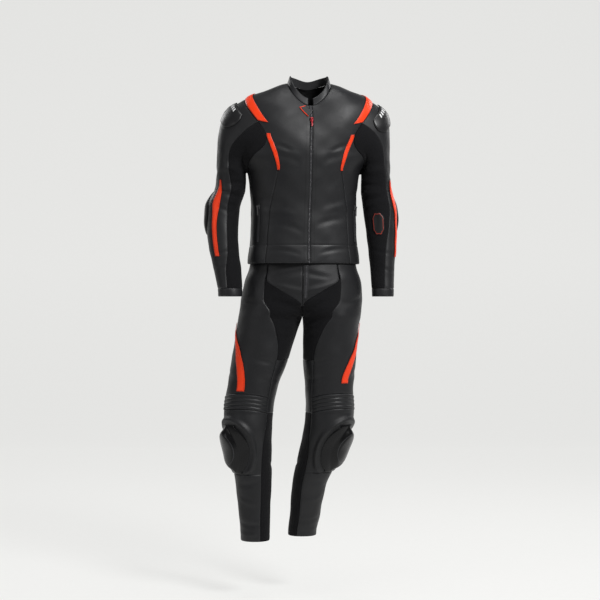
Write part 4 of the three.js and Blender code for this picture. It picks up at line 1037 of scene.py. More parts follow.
def pocket_metal():
    """Grey plated metal of the pockets' zips."""
    made, nodes, shader = new_material("Plated zip metal")
    base = tuple(bpy.context.scene.suit_colours.pocket_metal)
    worn = nodes.group("Handling marks", scale=240.0)
    nodes.put(shader["Base Color"], nodes.mix(worn["Scuffs"], opaque(base), opaque([c * 2.4 for c in base])))
    nodes.put(shader["Roughness"], nodes.plus(0.34, nodes.times(worn["Scuffs"], 0.2)))
    shader["Metallic"].default_value = 0.85
    return made


def patch():
    """A sewn plate with a bright outline that follows its edge."""
    colours = bpy.context.scene.suit_colours
    orange = tuple(colours.orange)

    def outline(nodes, tint):
        near = None
        for map_name in ("seam_side", "seam_end"):
            place = nodes.place(map_name)
            line = between_values(nodes, place["X"], 0.0028, 0.0042, 0.0004)
            near = line if near is None else nodes.math("MAXIMUM", near, line)
        return nodes.mix(nodes.times(near, 0.6), tint, opaque(orange))
    base = tuple(c * 0.6 for c in colours.leather)
    return hide_material("Sewn plate", base, base, [c * 0.5 for c in base], marks=outline)


def tab_leather():
    """The tab's leather, with a thin bright line by its lower edge and its end."""
    colours = bpy.context.scene.suit_colours
    orange = tuple(colours.orange)

    def edge_line(nodes, tint):
        first = nodes.place("first_edge")
        end = nodes.place("seam_end")
        long_edge = nodes.steps(first["X"], 0.0020, 0.0030, 1.0, 0.0)
        tip = nodes.times(nodes.steps(end["X"], 0.0020, 0.0030, 1.0, 0.0),
                         nodes.steps(first["Y"], 0.010, 0.012))
        return nodes.mix(nodes.math("MAXIMUM", long_edge, tip), tint, opaque(orange))
    base = tuple(colours.leather)
    return hide_material("Tab leather", base, base, [c * 0.5 for c in base], marks=edge_line)


def moulded_armour():
    """A shoulder cup: matt black, with four short white bars."""
    colours = bpy.context.scene.suit_colours
    white = opaque(tuple(colours.white))

    def flashes(nodes, tint):
        across, along = cloth_place(nodes)
        lean = nodes.plus(across, nodes.times(along, 0.45))
        band = between_values(nodes, along, 0.006, 0.017)
        marks = None
        for start in (-0.022, -0.010, 0.002, 0.014):
            bar = nodes.times(between_values(nodes, lean, start, start + 0.006), band)
            marks = bar if marks is None else nodes.math("MAXIMUM", marks, bar)
        return nodes.mix(nodes.times(marks, 0.8), tint, white)
    return moulded("Moulded cup", tuple(colours.armour), 0.42, flashes, coat=0.05)


def plain_armour():
    """An elbow cup: matt black, without the bars."""
    return moulded("Elbow cup", tuple(bpy.context.scene.suit_colours.armour), 0.42, coat=0.05)


# The puck's middle and half size on its slider, in metres across and along.
PUCK_PLACE, PUCK_SIZE = (-0.016, 0.074), (0.038, 0.060)


def slider_plastic():
    """Hard black plastic, with a groove round the puck."""
    colours = bpy.context.scene.suit_colours
    base = tuple(colours.slider)

    def groove(nodes, tint):
        across, along = cloth_place(nodes)
        x = nodes.over(nodes.less(across, PUCK_PLACE[0]), PUCK_SIZE[0])
        y = nodes.over(nodes.less(along, PUCK_PLACE[1]), PUCK_SIZE[1])
        away = nodes.math("SQRT", nodes.plus(nodes.times(x, x), nodes.times(y, y)))
        ring = between_values(nodes, away, 0.80, 0.84, 0.01)
        return nodes.mix(nodes.times(ring, 0.5), tint, opaque([c * 12 for c in base]))
    return moulded("Slider plastic", base, 0.26, groove, grain=0.05, shine=0.22)


MAKERS = {make.__name__: make for make in (
    leather, front_leather, tab_leather, orange_leather, stretch_fabric, lining, patch,
    moulded_armour, plain_armour, slider_plastic, zip_tape, zip_metal, pocket_metal)}
MADE = {}


def finish(slot):
    """The material of one of the slots, made once."""
    if slot not in MADE:
        MADE[slot] = MAKERS[slot]()
    return MADE[slot]


def row_levels(marks, step):
    """Levels through all the marks, at most a step apart between them."""
    levels = [marks[0]]
    for last in marks[1:]:
        first = levels[-1]
        count = max(1, int(math.ceil(abs(last - first) / step)))
        levels += [first + (last - first) * i / count for i in range(1, count + 1)]
    return np.array(levels)


def soften(levels, unit_mm=1.0, soft=(0.9, 2.2, 4.5)):
    """Adds levels close to both ends, where a seam sinks. unit_mm is the length of a unit of level."""
    sign = np.sign(levels[-1] - levels[0])
    ends = [levels[0] + sign * s / unit_mm for s in soft] + [levels[-1] - sign * s / unit_mm for s in soft]
    inner = levels[1:-1]
    away = np.minimum(np.abs(inner - levels[0]), np.abs(inner - levels[-1])) * unit_mm
    kept = inner[away > soft[-1] + 1]
    return np.array(sorted([levels[0], levels[-1], *ends, *kept], reverse=bool(sign < 0)))


def settle(piece, name):
    """Hides the model's part of the same name, which the piece stands in for."""
    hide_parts(name)
    return piece


def panel(name, form, levels, first, last, slot, thick=LEATHER, at=None, fill=None, cloth=True, look=None,
          fine=1.0, **shape):
    """One panel between two seams, which give their places across from the level. look names its finish
    where that differs from its slot, and fine is the size of its cells as a share of the usual one."""
    sizes = bpy.context.scene.suit_sizes
    left, right = first(levels), last(levels)
    point = FORMS[form][0]
    middle = len(levels) // 2
    probe = levels[middle] if at is None else at(np.array([left[middle]]), np.array([levels[middle]]))[0]
    ring = point(np.linspace(left[middle], right[middle], 24), probe)
    width = np.linalg.norm(np.diff(ring, axis=0), axis=1).sum() * MM
    share = spread(width, sizes.cell * fine)
    across = mix(left[:, None], right[:, None], share[None, :])
    level = np.broadcast_to(levels[:, None], across.shape)
    if at is not None:
        level = at(across, level)
    piece, flat = shell(f"sewn_{name}", form, across, level, [finish(look or slot), finish("lining")], thick,
                        **shape)
    return settle(piece, name)


def trim(name, form, levels, middle, width, slot, raised=TRIM_LIFT, thick=TRIM, cloth=True, look=None,
         **shape):
    """A piece that lies on the panels of a form, centred on a path: middle and width come from the share
    along it, in degrees across."""
    sizes = bpy.context.scene.suit_sizes
    share = (levels - levels[0]) / (levels[-1] - levels[0])
    mid, wide = middle(share), width(share)
    half = len(levels) // 2
    point = FORMS[form][0]
    ring = point(np.linspace(mid[half] - wide[half] / 2, mid[half] + wide[half] / 2, 12), levels[half])
    length = np.linalg.norm(np.diff(ring, axis=0), axis=1).sum() * MM
    places = spread(max(length, 0.004), sizes.cell * 0.6, soft=(0.0006, 0.0015))
    across = mid[:, None] + wide[:, None] * (places[None, :] - 0.5)
    level = np.broadcast_to(levels[:, None], across.shape)
    shape.setdefault("outer", raised + thick)
    label = f"sewn_{name}" if cloth else f"moulded_{name}"
    piece, flat = shell(label, form, across, level, [finish(look or slot)], thick, **shape)
    return settle(piece, name)


# The jacket's seams, as degrees from the centre front at a level.
ZIP_HALF = 3.2
PRINCESS = column((1056, 1216, 1300, 1357, 1420, 1465), (58, 56, 48.5, 43.5, 47.8, 51))
BACK_SEAM = column((1056, 1216, 1345, 1465), (126, 129, 132, 129))
BODY_STEP = 5.5


def zip_angle(level):
    return np.degrees(ZIP_HALF / np.maximum(40, -body_point(0, level)[..., 1]))


def side_edge(level, reach):
    plain = (level <= ARMHOLE_BOTTOM) | (level >= ARMHOLE_TOP)
    return np.where(plain, 90.0, armhole_edge(np.clip(level, ARMHOLE_BOTTOM, ARMHOLE_TOP), reach))


def front_seam(level):
    return np.where(level <= ARMHOLE["level"] + 0.01, PRINCESS(level), side_edge(level, ARMHOLE["front"]))


def back_edge(level):
    below = level <= ARMHOLE["level"] + 0.01
    return np.where(below, BACK_SEAM(level), 180 - side_edge(level, ARMHOLE["back"]))


def yoke(across, level):
    """Levels above the armhole's top climb to the neckline."""
    share = np.clip(level - ARMHOLE_TOP, 0, 1)
    return np.where(level > ARMHOLE_TOP, mix(ARMHOLE_TOP, neckline_level(across), share), level)


def body_levels(top):
    holes = armhole_level(np.linspace(-90, 90, 73))
    low = row_levels([JACKET_HEM, *HEM_SEAM_LEVELS, ARMHOLE_BOTTOM], BODY_STEP)
    if top <= ARMHOLE["level"]:
        return soften(np.array([*low, *holes[(holes > ARMHOLE_BOTTOM + 0.1) & (holes <= top + 0.01)]]))
    upper = ARMHOLE_TOP + np.array([*np.linspace(0, 1, 15)[1:-1], 0.95, 0.975, 0.99, 1.0])
    return np.array([JACKET_HEM, JACKET_HEM + 0.9, JACKET_HEM + 2.2, *low[1:], *holes[1:], *sorted(upper)])


class SUIT_OT_jacket_body(bpy.types.Operator):
    """Cuts the jacket's fronts, sides and back"""
    bl_idname = "suit.jacket_body"
    bl_label = "Jacket body"

    def execute(self, context):
        tall, short = body_levels(ARMHOLE_TOP + 1), body_levels(ARMHOLE["level"])
        for side, sign in SIDES.items():
            panel(f"chest_front_{side}", "body", tall, lambda z: sign * zip_angle(z),
                  lambda z: sign * front_seam(z), "leather", at=yoke, look="front_leather")
            panel(f"side_front_{side}", "body", short, lambda z: sign * PRINCESS(z),
                  lambda z: sign * side_edge(z, ARMHOLE["front"]), "leather")
            panel(f"back_side_{side}", "body", short, lambda z: sign * BACK_SEAM(z),
                  lambda z: sign * (180 - side_edge(z, ARMHOLE["back"])), "leather")
        panel("back_centre", "body", tall, back_edge, lambda z: 360 - back_edge(z), "leather", at=yoke)
        return {"FINISHED"}


COLLAR = {"height": 23.0, "lean": 0.1, "gap_angle": 5.0, "lift": 0.9, "sink": 0.07}


def collar_point(angle, share):
    angle, share = arrays(angle, share)
    foot = body_point(angle, neckline_level(angle))
    middle = (body_point(90, NECKLINE["side"]) + body_point(-90, NECKLINE["side"])) / 2
    out = foot - middle
    out[..., 2] = 0
    raised = foot - out * (COLLAR["lean"] * share)[..., None]
    raised[..., 2] += COLLAR["lift"] + COLLAR["height"] * share
    return raised


def collar_normal(angle, share):
    angle, share = arrays(angle, share)
    inside = (collar_point(angle, share) + collar_point(angle + 180, share)) / 2
    return normal_at(collar_point, inside, angle, np.clip(share, 0.1, 0.9), 1, 0.1)


class SUIT_OT_collar(bpy.types.Operator):
    """Makes the standing collar and the tab that closes it"""
    bl_idname = "suit.collar"
    bl_label = "Collar and tab"

    def execute(self, context):
        FORMS["collar"] = (collar_point, collar_normal)
        CREASE_SCALE["collar"] = (1.4, COLLAR["height"])
        levels = soften(np.array([-COLLAR["sink"], *np.linspace(0, 1, 7)[1:]]), COLLAR["height"])
        gap = COLLAR["gap_angle"]
        panel("collar", "collar", levels, lambda z: np.full_like(z, gap),
              lambda z: np.full_like(z, 360 - gap), "leather")
        tab(context)
        return {"FINISHED"}


# The tab's corners: degrees across and levels.
TAB = {"foot": (-5.5, 1579.0), "root": (3.5, 1608.0), "head": (-11.0, 1626.0), "tip": (-20.0, 1611.0)}
TAB_THICK = 2.2


def tab(context):
    """The collar's tab, a closed strip from the left front to the right."""
    v = np.linspace(0, 1, 24)[:, None, None]
    share = spread(0.03, 0.003, (0.0006, 0.0015))[None, :, None]
    foot, root, head, tip = (np.array(TAB[name])[None, None, :] for name in ("foot", "root", "head", "tip"))
    place = mix(mix(foot, tip, v), mix(root, head, v), share)
    piece, flat = shell("sewn_collar_tab", "body", place[..., 0], place[..., 1], [finish("tab_leather")],
                        TAB_THICK, outer=TRIM_LIFT + TAB_THICK, dip=0.0006)
    settle(piece, "collar_tab")


# The sleeves' seams, as turns from the front over the outside. Reach is 1 for each 100 mm below the cap.
ELBOW, CUFF_START = 1.85, 4.9
SLEEVE_END = 1 + (CAP_END - WRIST) / REACH_STEP
FRONT_SEAM_TURN, UNDER_SEAM_TURN, UNDER_SEAM_LOW = 36.0, -90.0, -95.0


def front_seam_turn(side, reach):
    far = ARMS[side]["seam"](sleeve_height(np.maximum(1, reach)))
    return np.where(reach < 1, mix(FRONT_SEAM_TURN, far, ease(np.clip(reach, 0, 1))), far)


def under_seam_turn(reach):
    return mix(UNDER_SEAM_TURN, UNDER_SEAM_LOW, np.clip((reach - 1) / 2, 0, 1))


def sleeve_levels(first, last):
    cap = row_levels([0, 0.05, 0.2, 1], 0.035)
    arm = row_levels([1, ELBOW, CUFF_START, SLEEVE_END], 0.05)
    both = np.unique(np.concatenate([cap, arm]))
    kept = both[(both > first - 1e-6) & (both < last + 1e-6)]
    return soften(kept, REACH_STEP)


class SUIT_OT_sleeves(bpy.types.Operator):
    """Cuts the sleeves' outer, forearm and stretch panels and the cuffs"""
    bl_idname = "suit.sleeves"
    bl_label = "Sleeves"

    def execute(self, context):
        for side in SIDES:
            form = f"sleeve_{side}"
            panel(f"sleeve_stretch_{side}", form, sleeve_levels(0, CUFF_START), under_seam_turn,
                  lambda r: front_seam_turn(side, r), "stretch_fabric", STRETCH)
            panel(f"sleeve_outer_{side}", form, sleeve_levels(0, ELBOW),
                  lambda r: front_seam_turn(side, r), lambda r: 360 + under_seam_turn(r), "leather")
            panel(f"forearm_outer_{side}", form, sleeve_levels(ELBOW, CUFF_START),
                  lambda r: front_seam_turn(side, r), lambda r: 360 + under_seam_turn(r), "leather")
            panel(f"cuff_{side}", form, sleeve_levels(CUFF_START, SLEEVE_END),
                  lambda r: np.full_like(r, -94), lambda r: np.full_like(r, 264), "leather")
        return {"FINISHED"}


def oval(v, least=0.25):
    return np.maximum(least, np.sqrt(np.maximum(0, 1 - (2 * v - 1) ** 2)))


def dome(u, v):
    return np.abs(np.sin(np.pi * u)) ** 0.6 * np.abs(np.sin(np.pi * v)) ** 0.6


# The turns of the cups' middles, and the air under a shoulder cup.
CUP = {"right": {"shoulder": 76.0, "elbow": 112.0, "lift": 1.1},
       "left": {"shoulder": 70.0, "elbow": 128.0, "lift": 1.6}}
SHOULDER_CUP = {"from": 0.12, "to": 0.5, "top": 52.0, "foot": 62.0, "thin": 2.2, "rise": 5.0}
ELBOW_CUP = {"from": 1.88, "to": 3.2, "width": 84.0, "thin": 2.0, "rise": 9.0}
ELBOW_STRIPE = {"from": 1.55, "to": 3.9, "end": 4.0, "tail": 18.0, "swell": 12.0, "swell_at": 0.24,
                "swell_long": 0.16}
SLEEVE_PATCH = {"from": 2.5, "to": 3.2, "turn": -12.0, "width": 40.0}
STRIP = {"from": 1346.0, "to": 1484.0, "inset": 0.8, "end": 1.4, "full": 4.4}


class SUIT_OT_armour(bpy.types.Operator):
    """Moulds the shoulder and elbow cups"""
    bl_idname = "suit.armour"
    bl_label = "Shoulder and elbow cups"

    def execute(self, context):
        for side in SIDES:
            form = f"sleeve_{side}"
            cup = SHOULDER_CUP
            lift = CUP[side]["lift"]
            trim(f"shoulder_cup_{side}", form, np.linspace(cup["from"], cup["to"], 33),
                 lambda v: np.full_like(v, CUP[side]["shoulder"]),
                 lambda v: mix(cup["top"], cup["foot"], v) * oval(mix(0.2, 0.95, v), 0.3),
                 "moulded_armour", cloth=False,
                 inner=lift, outer=lambda u, v, a, r: lift + cup["thin"] + cup["rise"] * dome(u, v))
            elbow = ELBOW_CUP
            trim(f"elbow_cup_{side}", form, np.linspace(elbow["from"], elbow["to"], 49),
                 lambda v: np.full_like(v, CUP[side]["elbow"]),
                 lambda v: elbow["width"] * oval(v, 0.35), "moulded_armour", cloth=False,
                 look="plain_armour", inner=TRIM_LIFT,
                 outer=lambda u, v, a, r: TRIM_LIFT + elbow["thin"] + elbow["rise"] * dome(u, v))
        return {"FINISHED"}


class SUIT_OT_trims(bpy.types.Operator):
    """Sews on the bright bands, strips and stripes, and the sleeve's plate"""
    bl_idname = "suit.trims"
    bl_label = "Bright trim"

    def execute(self, context):
        for side, sign in SIDES.items():
            shoulder_band(side, sign)
            strip = STRIP
            trim(f"chest_strip_{side}", "body", np.linspace(strip["from"], strip["to"], 40),
                 lambda v: sign * (PRINCESS(mix(strip["from"], ARMHOLE["level"], v)) - strip["inset"]),
                 lambda v: sign * mix(strip["end"], strip["full"],
                                      np.sin(np.pi * np.minimum(1, 0.15 + 0.6 * v))),
                 "orange_leather", dip=0.0003)
            stripe = ARMS[side]["stripe"]
            trim(f"elbow_stripe_{side}", f"sleeve_{side}",
                 np.linspace(ELBOW_STRIPE["from"], ELBOW_STRIPE["to"], 60),
                 lambda v: stripe(sleeve_height(mix(ELBOW_STRIPE["from"], ELBOW_STRIPE["to"], v))),
                 stripe_width, "orange_leather", raised=STRIPE_LIFT, dip=0.0004)
        trim("sleeve_patch_left", "sleeve_left", np.linspace(SLEEVE_PATCH["from"], SLEEVE_PATCH["to"], 26),
             lambda v: np.full_like(v, SLEEVE_PATCH["turn"]),
             lambda v: SLEEVE_PATCH["width"] * np.minimum(1, 0.45 + 2.4 * np.minimum(v, 1 - v)), "patch",
             dip=0.0005)
        return {"FINISHED"}


def stripe_width(v):
    stripe = ELBOW_STRIPE
    bulge = np.exp(-((v - stripe["swell_at"]) / stripe["swell_long"]) ** 2)
    return mix(stripe["end"], stripe["tail"], np.minimum(1, 3 * v)) + stripe["swell"] * bulge


# A band runs over each shoulder beside the armhole. Its turns are the armhole's.
BAND = {"from": 39.0, "to": 141.0, "width": 28.0, "gap": 3.0}
MM_PER_DEGREE, MM_PER_LEVEL = 3.0, 1.24  # along the shoulder


def shoulder_band(side, sign):
    """The bright band over a shoulder, from the front to the back."""
    turn = np.linspace(BAND["from"], BAND["to"], 72)[:, None]
    away = BAND["gap"] + BAND["width"] * spread(BAND["width"] * MM, 0.004, (0.0006, 0.0015))[None, :]
    lean = np.radians(90 * ease(1 - np.abs(turn - 90) / (BAND["to"] - 90)))
    aside = np.where(turn > 90, 1, -1) * away * np.cos(lean) / MM_PER_DEGREE
    across = sign * (armhole_angle(turn) + aside)
    level = armhole_level(turn) + away * np.sin(lean) / MM_PER_LEVEL
    piece, flat = shell(f"sewn_shoulder_band_{side}", "body", across, level, [finish("orange_leather")],
                        TRIM, outer=STRIPE_LIFT + TRIM, dip=0.0005)
    settle(piece, f"shoulder_band_{side}")


def seam_table(rows):
    z, across = zip(*reversed(rows))
    return column(z, across)


# The trousers' seams, as turns from the outside over the front at a height.
V_OUTER = seam_table(((HIP_TOP, 50), (V_TIP, 52), (944, 59), (896, 86), (848, 106), (STRETCH_END, 127)))
V_INNER = seam_table(((HIP_TOP, 50), (V_TIP, 53.5), (975, 72), (944, 95), (FRONT_POINT, 114)))
BACK_INNER = seam_table(((CROTCH, 180), (816, 184), (STRETCH_END, 212), (656, 228), (CUP_TOP, 235)))
CUP_INNER = seam_table(((STRETCH_END, 127), (RIBS_TOP, 138), (CUP_TOP, 140), (CUP_END, 118), (ANKLE, 112)))
LEG_STEP = 5.5
KNEE_ARCH = {"rise": 15.0, "top": 690.0, "full": RIBS_TOP, "low": 500.0}


def knee_level(turn, z):
    """Levels near the knee rise to the middle of its front."""
    above = ease(np.clip((KNEE_ARCH["top"] - z) / (KNEE_ARCH["top"] - KNEE_ARCH["full"]), 0, 1))
    below = ease(np.clip((z - KNEE_ARCH["low"]) / (CUP_TOP - KNEE_ARCH["low"]), 0, 1))
    share = np.clip((turn - OUTSEAM) / (CUP_INNER(z) - OUTSEAM), 0, 1)
    return z + KNEE_ARCH["rise"] * np.where(z > CUP_TOP, above, below) * (1 - (2 * share - 1) ** 2)


def leg_levels(top, end, marks=(), step=LEG_STEP):
    inner = [m for m in marks if end < m < top]
    return soften(row_levels([top, *sorted(inner, reverse=True), end], step))


def outseam(z):
    return np.full_like(z, OUTSEAM)


def outseam_round(z):
    return np.full_like(z, 360 + OUTSEAM)


class SUIT_OT_trousers(bpy.types.Operator):
    """Cuts the trousers' hips, thighs, seat and stretch panels, and the waistband"""
    bl_idname = "suit.trousers"
    bl_label = "Trousers"

    def execute(self, context):
        marks = (V_TIP, FRONT_POINT, CROTCH + 4, CROTCH, STRETCH_END, RIBS_TOP)
        for side in SIDES:
            form = f"leg_{side}"

            def centre(z):
                return centre_turn(side, z)

            def stretch_inner(z):
                return np.where(z > FRONT_POINT - 0.01, V_INNER(z),
                                np.where(z > CROTCH + 0.01, centre_turn(side, z), BACK_INNER(z)))

            def thigh_inner(z):
                return np.where(z > STRETCH_END - 0.01, V_OUTER(z), CUP_INNER(z))

            def back_inner(z):
                return np.where(z > CROTCH + 0.01, 360 - centre_turn(side, z), BACK_INNER(z))
            panel(f"hip_front_{side}", form, leg_levels(HIP_TOP, FRONT_POINT, marks), centre, V_INNER,
                  "leather")
            panel(f"crotch_stretch_{side}", form, leg_levels(V_TIP, STRETCH_END, marks), stretch_inner,
                  V_OUTER, "stretch_fabric", STRETCH)
            panel(f"thigh_front_{side}", form, leg_levels(HIP_TOP, RIBS_TOP, marks), thigh_inner, outseam,
                  "leather", at=knee_level)
            panel(f"back_leg_{side}", form, leg_levels(HIP_TOP, CUP_TOP, marks), back_inner, outseam_round,
                  "leather")
            panel(f"inner_thigh_{side}", form, leg_levels(STRETCH_END, CUP_TOP, marks), CUP_INNER, BACK_INNER,
                  "leather")
        FORMS["waist"] = (waist_point, waist_normal)
        CREASE_SCALE["waist"] = (2.4, 1)
        panel("waistband", "waist", soften(np.linspace(HIP_TOP, WAIST, 9)),
              lambda z: np.full_like(z, WAIST_OPEN), lambda z: np.full_like(z, 360 - WAIST_OPEN), "leather")
        return {"FINISHED"}


JOIN_GAP = 1.1
WAIST_OPEN = 3.0


def waist_point(angle, z):
    angle, z = arrays(angle, z)
    left = leg_point("left", np.mod(450 - angle, 360), HIP_TOP)
    right = leg_point("right", np.mod(angle + 90, 360), HIP_TOP)
    foot = np.where((np.mod(angle, 360) < 180)[..., None], left, right)
    top = body_point(angle, WAIST) - body_normal(angle, WAIST) * (LEATHER + JOIN_GAP)
    return foot + (top - foot) * ((z - HIP_TOP) / (WAIST - HIP_TOP))[..., None]


def waist_normal(angle, z):
    angle, z = arrays(angle, z)
    inside = np.stack([np.full_like(z, TROUSER_MIDDLE), np.zeros_like(z), z], axis=-1)
    return normal_at(waist_point, inside, angle, z, 1, 1.5)


# The knees: padded ribs above, a padded cup, and a hard slider on it.
RIBS = 4
RIB_HEIGHT = 2.4
CUP_RISE = 7.0
SLIDER = {"from": 548.0, "to": 396.0, "turn": 42.0, "width": 96.0, "base": 3.0, "rise": 15.0}
PUCK = {"u": 0.36, "v": 0.5, "across": 0.3, "along": 0.4}
RIM = {"place": 1.25, "width": 0.11, "rise": 8.0}  # place and width are in shares of the slider's half size
THIGH_STRIPE = {
    "right": (868.0, 655.0, seam_table(((868, 6), (774, 40), (655, 66)))),
    "left": (868.0, 679.0, seam_table(((868, 2), (797, 20), (679, 54)))),
}
THIGH_STRIPE_WIDTH = {"top": 3.0, "full": 19.0}


def rib_height(u, v, turn, z):
    wave = np.abs(np.sin(np.pi * RIBS * v))
    return RIB_HEIGHT * wave ** 0.7 * np.clip(6 * np.minimum(u, 1 - u), 0, 1)


def cup_height(turn, z):
    u = np.clip((turn - OUTSEAM) / (CUP_INNER(z) - OUTSEAM), 0, 1)
    v = np.clip((CUP_TOP - z) / (CUP_TOP - CUP_END), 0, 1)
    return CUP_RISE * np.sin(np.pi * np.minimum(1, v * 1.6 + 0.08)) ** 1.2 * np.sin(np.pi * u) ** 0.7


def puck_height(u, v):
    away = np.hypot((u - PUCK["u"]) / PUCK["across"], (v - PUCK["v"]) / PUCK["along"])
    return SLIDER["rise"] * ease(np.clip((1.25 - away) / 0.45, 0, 1))


def slider_rim(u, v, turn, z):
    """The padded rim that stands round the slider."""
    middle = (SLIDER["from"] + SLIDER["to"]) / 2
    away = np.hypot((turn - SLIDER["turn"]) / (SLIDER["width"] / 2),
                    (z - middle) / ((SLIDER["from"] - SLIDER["to"]) / 2))
    fade = np.clip(12 * np.minimum(u, 1 - u), 0, 1) * np.clip(12 * np.minimum(v, 1 - v), 0, 1)
    return RIM["rise"] * np.exp(-((away - RIM["place"]) / RIM["width"]) ** 2) * fade


def slider_seat(turn, z):
    return cup_height(turn, z) + 2 * TRIM_LIFT


class SUIT_OT_knees(bpy.types.Operator):
    """Makes the padded knees, the shins and calves, the knee sliders and the thigh stripes"""
    bl_idname = "suit.knees"
    bl_label = "Knees and lower legs"

    def execute(self, context):
        for side in SIDES:
            form = f"leg_{side}"
            ribs = soften(np.linspace(RIBS_TOP, CUP_TOP, 8 * RIBS + 1), soft=(0.9,))
            panel(f"knee_ribs_{side}", form, ribs, CUP_INNER, outseam, "leather", at=knee_level, fill=0.8,
                  inner=-LEATHER, outer=rib_height)
            panel(f"knee_cup_{side}", form, leg_levels(CUP_TOP, CUP_END, step=LEG_STEP * 0.5), CUP_INNER,
                  outseam, "leather", at=knee_level, fine=0.5, fill=0.9, inner=-LEATHER,
                  outer=lambda u, v, turn, z: cup_height(turn, z) + slider_rim(u, v, turn, z))
            panel(f"shin_{side}", form, leg_levels(CUP_END, ANKLE), CUP_INNER, outseam, "leather")
            panel(f"calf_stretch_{side}", form, leg_levels(CUP_TOP, ANKLE), CUP_INNER, outseam_round,
                  "stretch_fabric", STRETCH)
            trim(f"knee_slider_{side}", form, np.linspace(SLIDER["from"], SLIDER["to"], 52),
                 lambda v: np.full_like(v, SLIDER["turn"]), lambda v: SLIDER["width"] * oval(v, 0.4),
                 "slider_plastic", cloth=False, inner=lambda u, v, turn, z: slider_seat(turn, z),
                 outer=lambda u, v, turn, z: slider_seat(turn, z) + SLIDER["base"] + puck_height(u, v))
            top, end, path = THIGH_STRIPE[side]
            trim(f"thigh_stripe_{side}", form, np.linspace(top, end, 48), lambda v: path(mix(top, end, v)),
                 lambda v: mix(THIGH_STRIPE_WIDTH["top"], THIGH_STRIPE_WIDTH["full"], np.minimum(1, 1.7 * v)),
                 "orange_leather", raised=STRIPE_LIFT, dip=0.0004)
        return {"FINISHED"}


POCKET = {"angle": 69.0, "top": 1244.0, "bottom": 1124.0, "width": 8.0, "reach": 140.0}


class SUIT_OT_zips(bpy.types.Operator):
    """Lays the zip tapes and gives the sliders and pulls their lacquer"""
    bl_idname = "suit.zips"
    bl_label = "Zips"

    def execute(self, context):
        panel("front_zip", "body", body_levels(ARMHOLE_TOP + 1), lambda z: -zip_angle(z), zip_angle,
              "zip_tape", 1.8, at=yoke, cloth=False, outer=-0.8, sewn=False)
        for side, sign in SIDES.items():
            pocket_zip(side, sign)
        fly_zip()
        for name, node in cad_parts.items():
            if name.startswith(("front_", "pocket_")) and name.endswith(("_pull", "_slider")):
                node.data.materials.clear()
                look = "zip_metal" if name.startswith("front_") else "pocket_metal"
                node.data.materials.append(finish(look))
        return {"FINISHED"}


# The trousers' fly: its zip shows between two heights, beside the centre on the wearer's left.
FLY = {"top": 1050.0, "bottom": 946.0, "off": 4.0, "width": 4.6}


def fly_zip():
    """The zip of the trousers' fly, a narrow tape on the left half."""
    levels = np.linspace(FLY["top"], FLY["bottom"], 28)
    share = np.array([0, 0.12, 0.3, 0.5, 0.7, 0.88, 1])
    across = centre_turn("left", levels)[:, None] - FLY["off"] - FLY["width"] * (share[None, :] - 0.5)
    level = np.broadcast_to(levels[:, None], across.shape)
    piece, _ = shell("sewn_fly_zip", "leg_left", across, level, [finish("zip_tape")], TRIM,
                     outer=TRIM_LIFT + TRIM, sewn=False)


def pocket_zip(side, sign):
    """The zip tape of a side pocket."""
    half = math.degrees(POCKET["width"] / 2 / POCKET["reach"])
    levels = np.linspace(POCKET["bottom"], POCKET["top"], 30)
    share = np.array([0, 0.12, 0.3, 0.5, 0.7, 0.88, 1])
    across = sign * POCKET["angle"] + half * (2 * share[None, :] - 1) + 0 * levels[:, None]
    level = np.broadcast_to(levels[:, None], across.shape)
    piece, flat = shell(f"sewn_pocket_zip_{side}", "body", across, level, [finish("zip_tape")],
                        TRIM, outer=TRIM_LIFT + TRIM, sewn=False)
    settle(piece, f"pocket_zip_{side}")


FLOOR = -CARRY_HEIGHT * MM
VIEW_CENTRE = Vector((-0.0192, 0.0, -0.619))
VIEW_DISTANCE = 4.53
LENS = 85.0
LIGHT_COLUMNS = ("name", "place", "size", "power")
LIGHTS = (
    ("Key softbox", (1.7, -2.3, 1.6), 1.1, 124.0),
    ("Fill softbox", (-2.6, -2.2, 0.5), 1.6, 12.0),
    ("Top softbox", (0.2, -0.4, 2.3), 1.4, 26.0),
    ("Back softbox left", (-1.9, 1.9, 1.0), 1.2, 18.0),
    ("Back softbox right", (2.1, 1.7, 0.9), 1.2, 20.0),
)


# The paper is lit evenly by its own lamps: it glows a little, and shades only softly under the suit.
PAPER_SHADE, PAPER_GLOW = 0.24, 0.80


def stage_material():
    """Pale paper that glows a little, so that it stays even."""
    made, nodes, shader = new_material("Pale studio paper")
    place = nodes.add("ShaderNodeTexCoord").outputs["Object"]
    tooth = nodes.add("ShaderNodeTexNoise", {"Vector": place, "Scale": 60.0, "Detail": 2.0})
    base = tuple(bpy.context.scene.suit_colours.stage)
    dull = [c * PAPER_SHADE for c in base]
    tint = nodes.mix(tooth.outputs["Fac"], opaque([c * 0.9 for c in dull]), opaque(dull))
    nodes.put(shader["Base Color"], tint)
    shader["Emission Color"].default_value = opaque(base)
    shader["Emission Strength"].default_value = PAPER_GLOW
    shader["Roughness"].default_value = 0.9
    shader["Specular IOR Level"].default_value = 0.1
    return made


# The paper's half width, the floor's start and run, the bend's radius and the wall's top, in metres.
PAPER = {"wide": 8.0, "start": -2.0, "run": 4.4, "bend": 1.2, "top": 5.5}
LAMP_AIM = Vector((0, 0, -0.6))
AIR_GLOW = 0.16


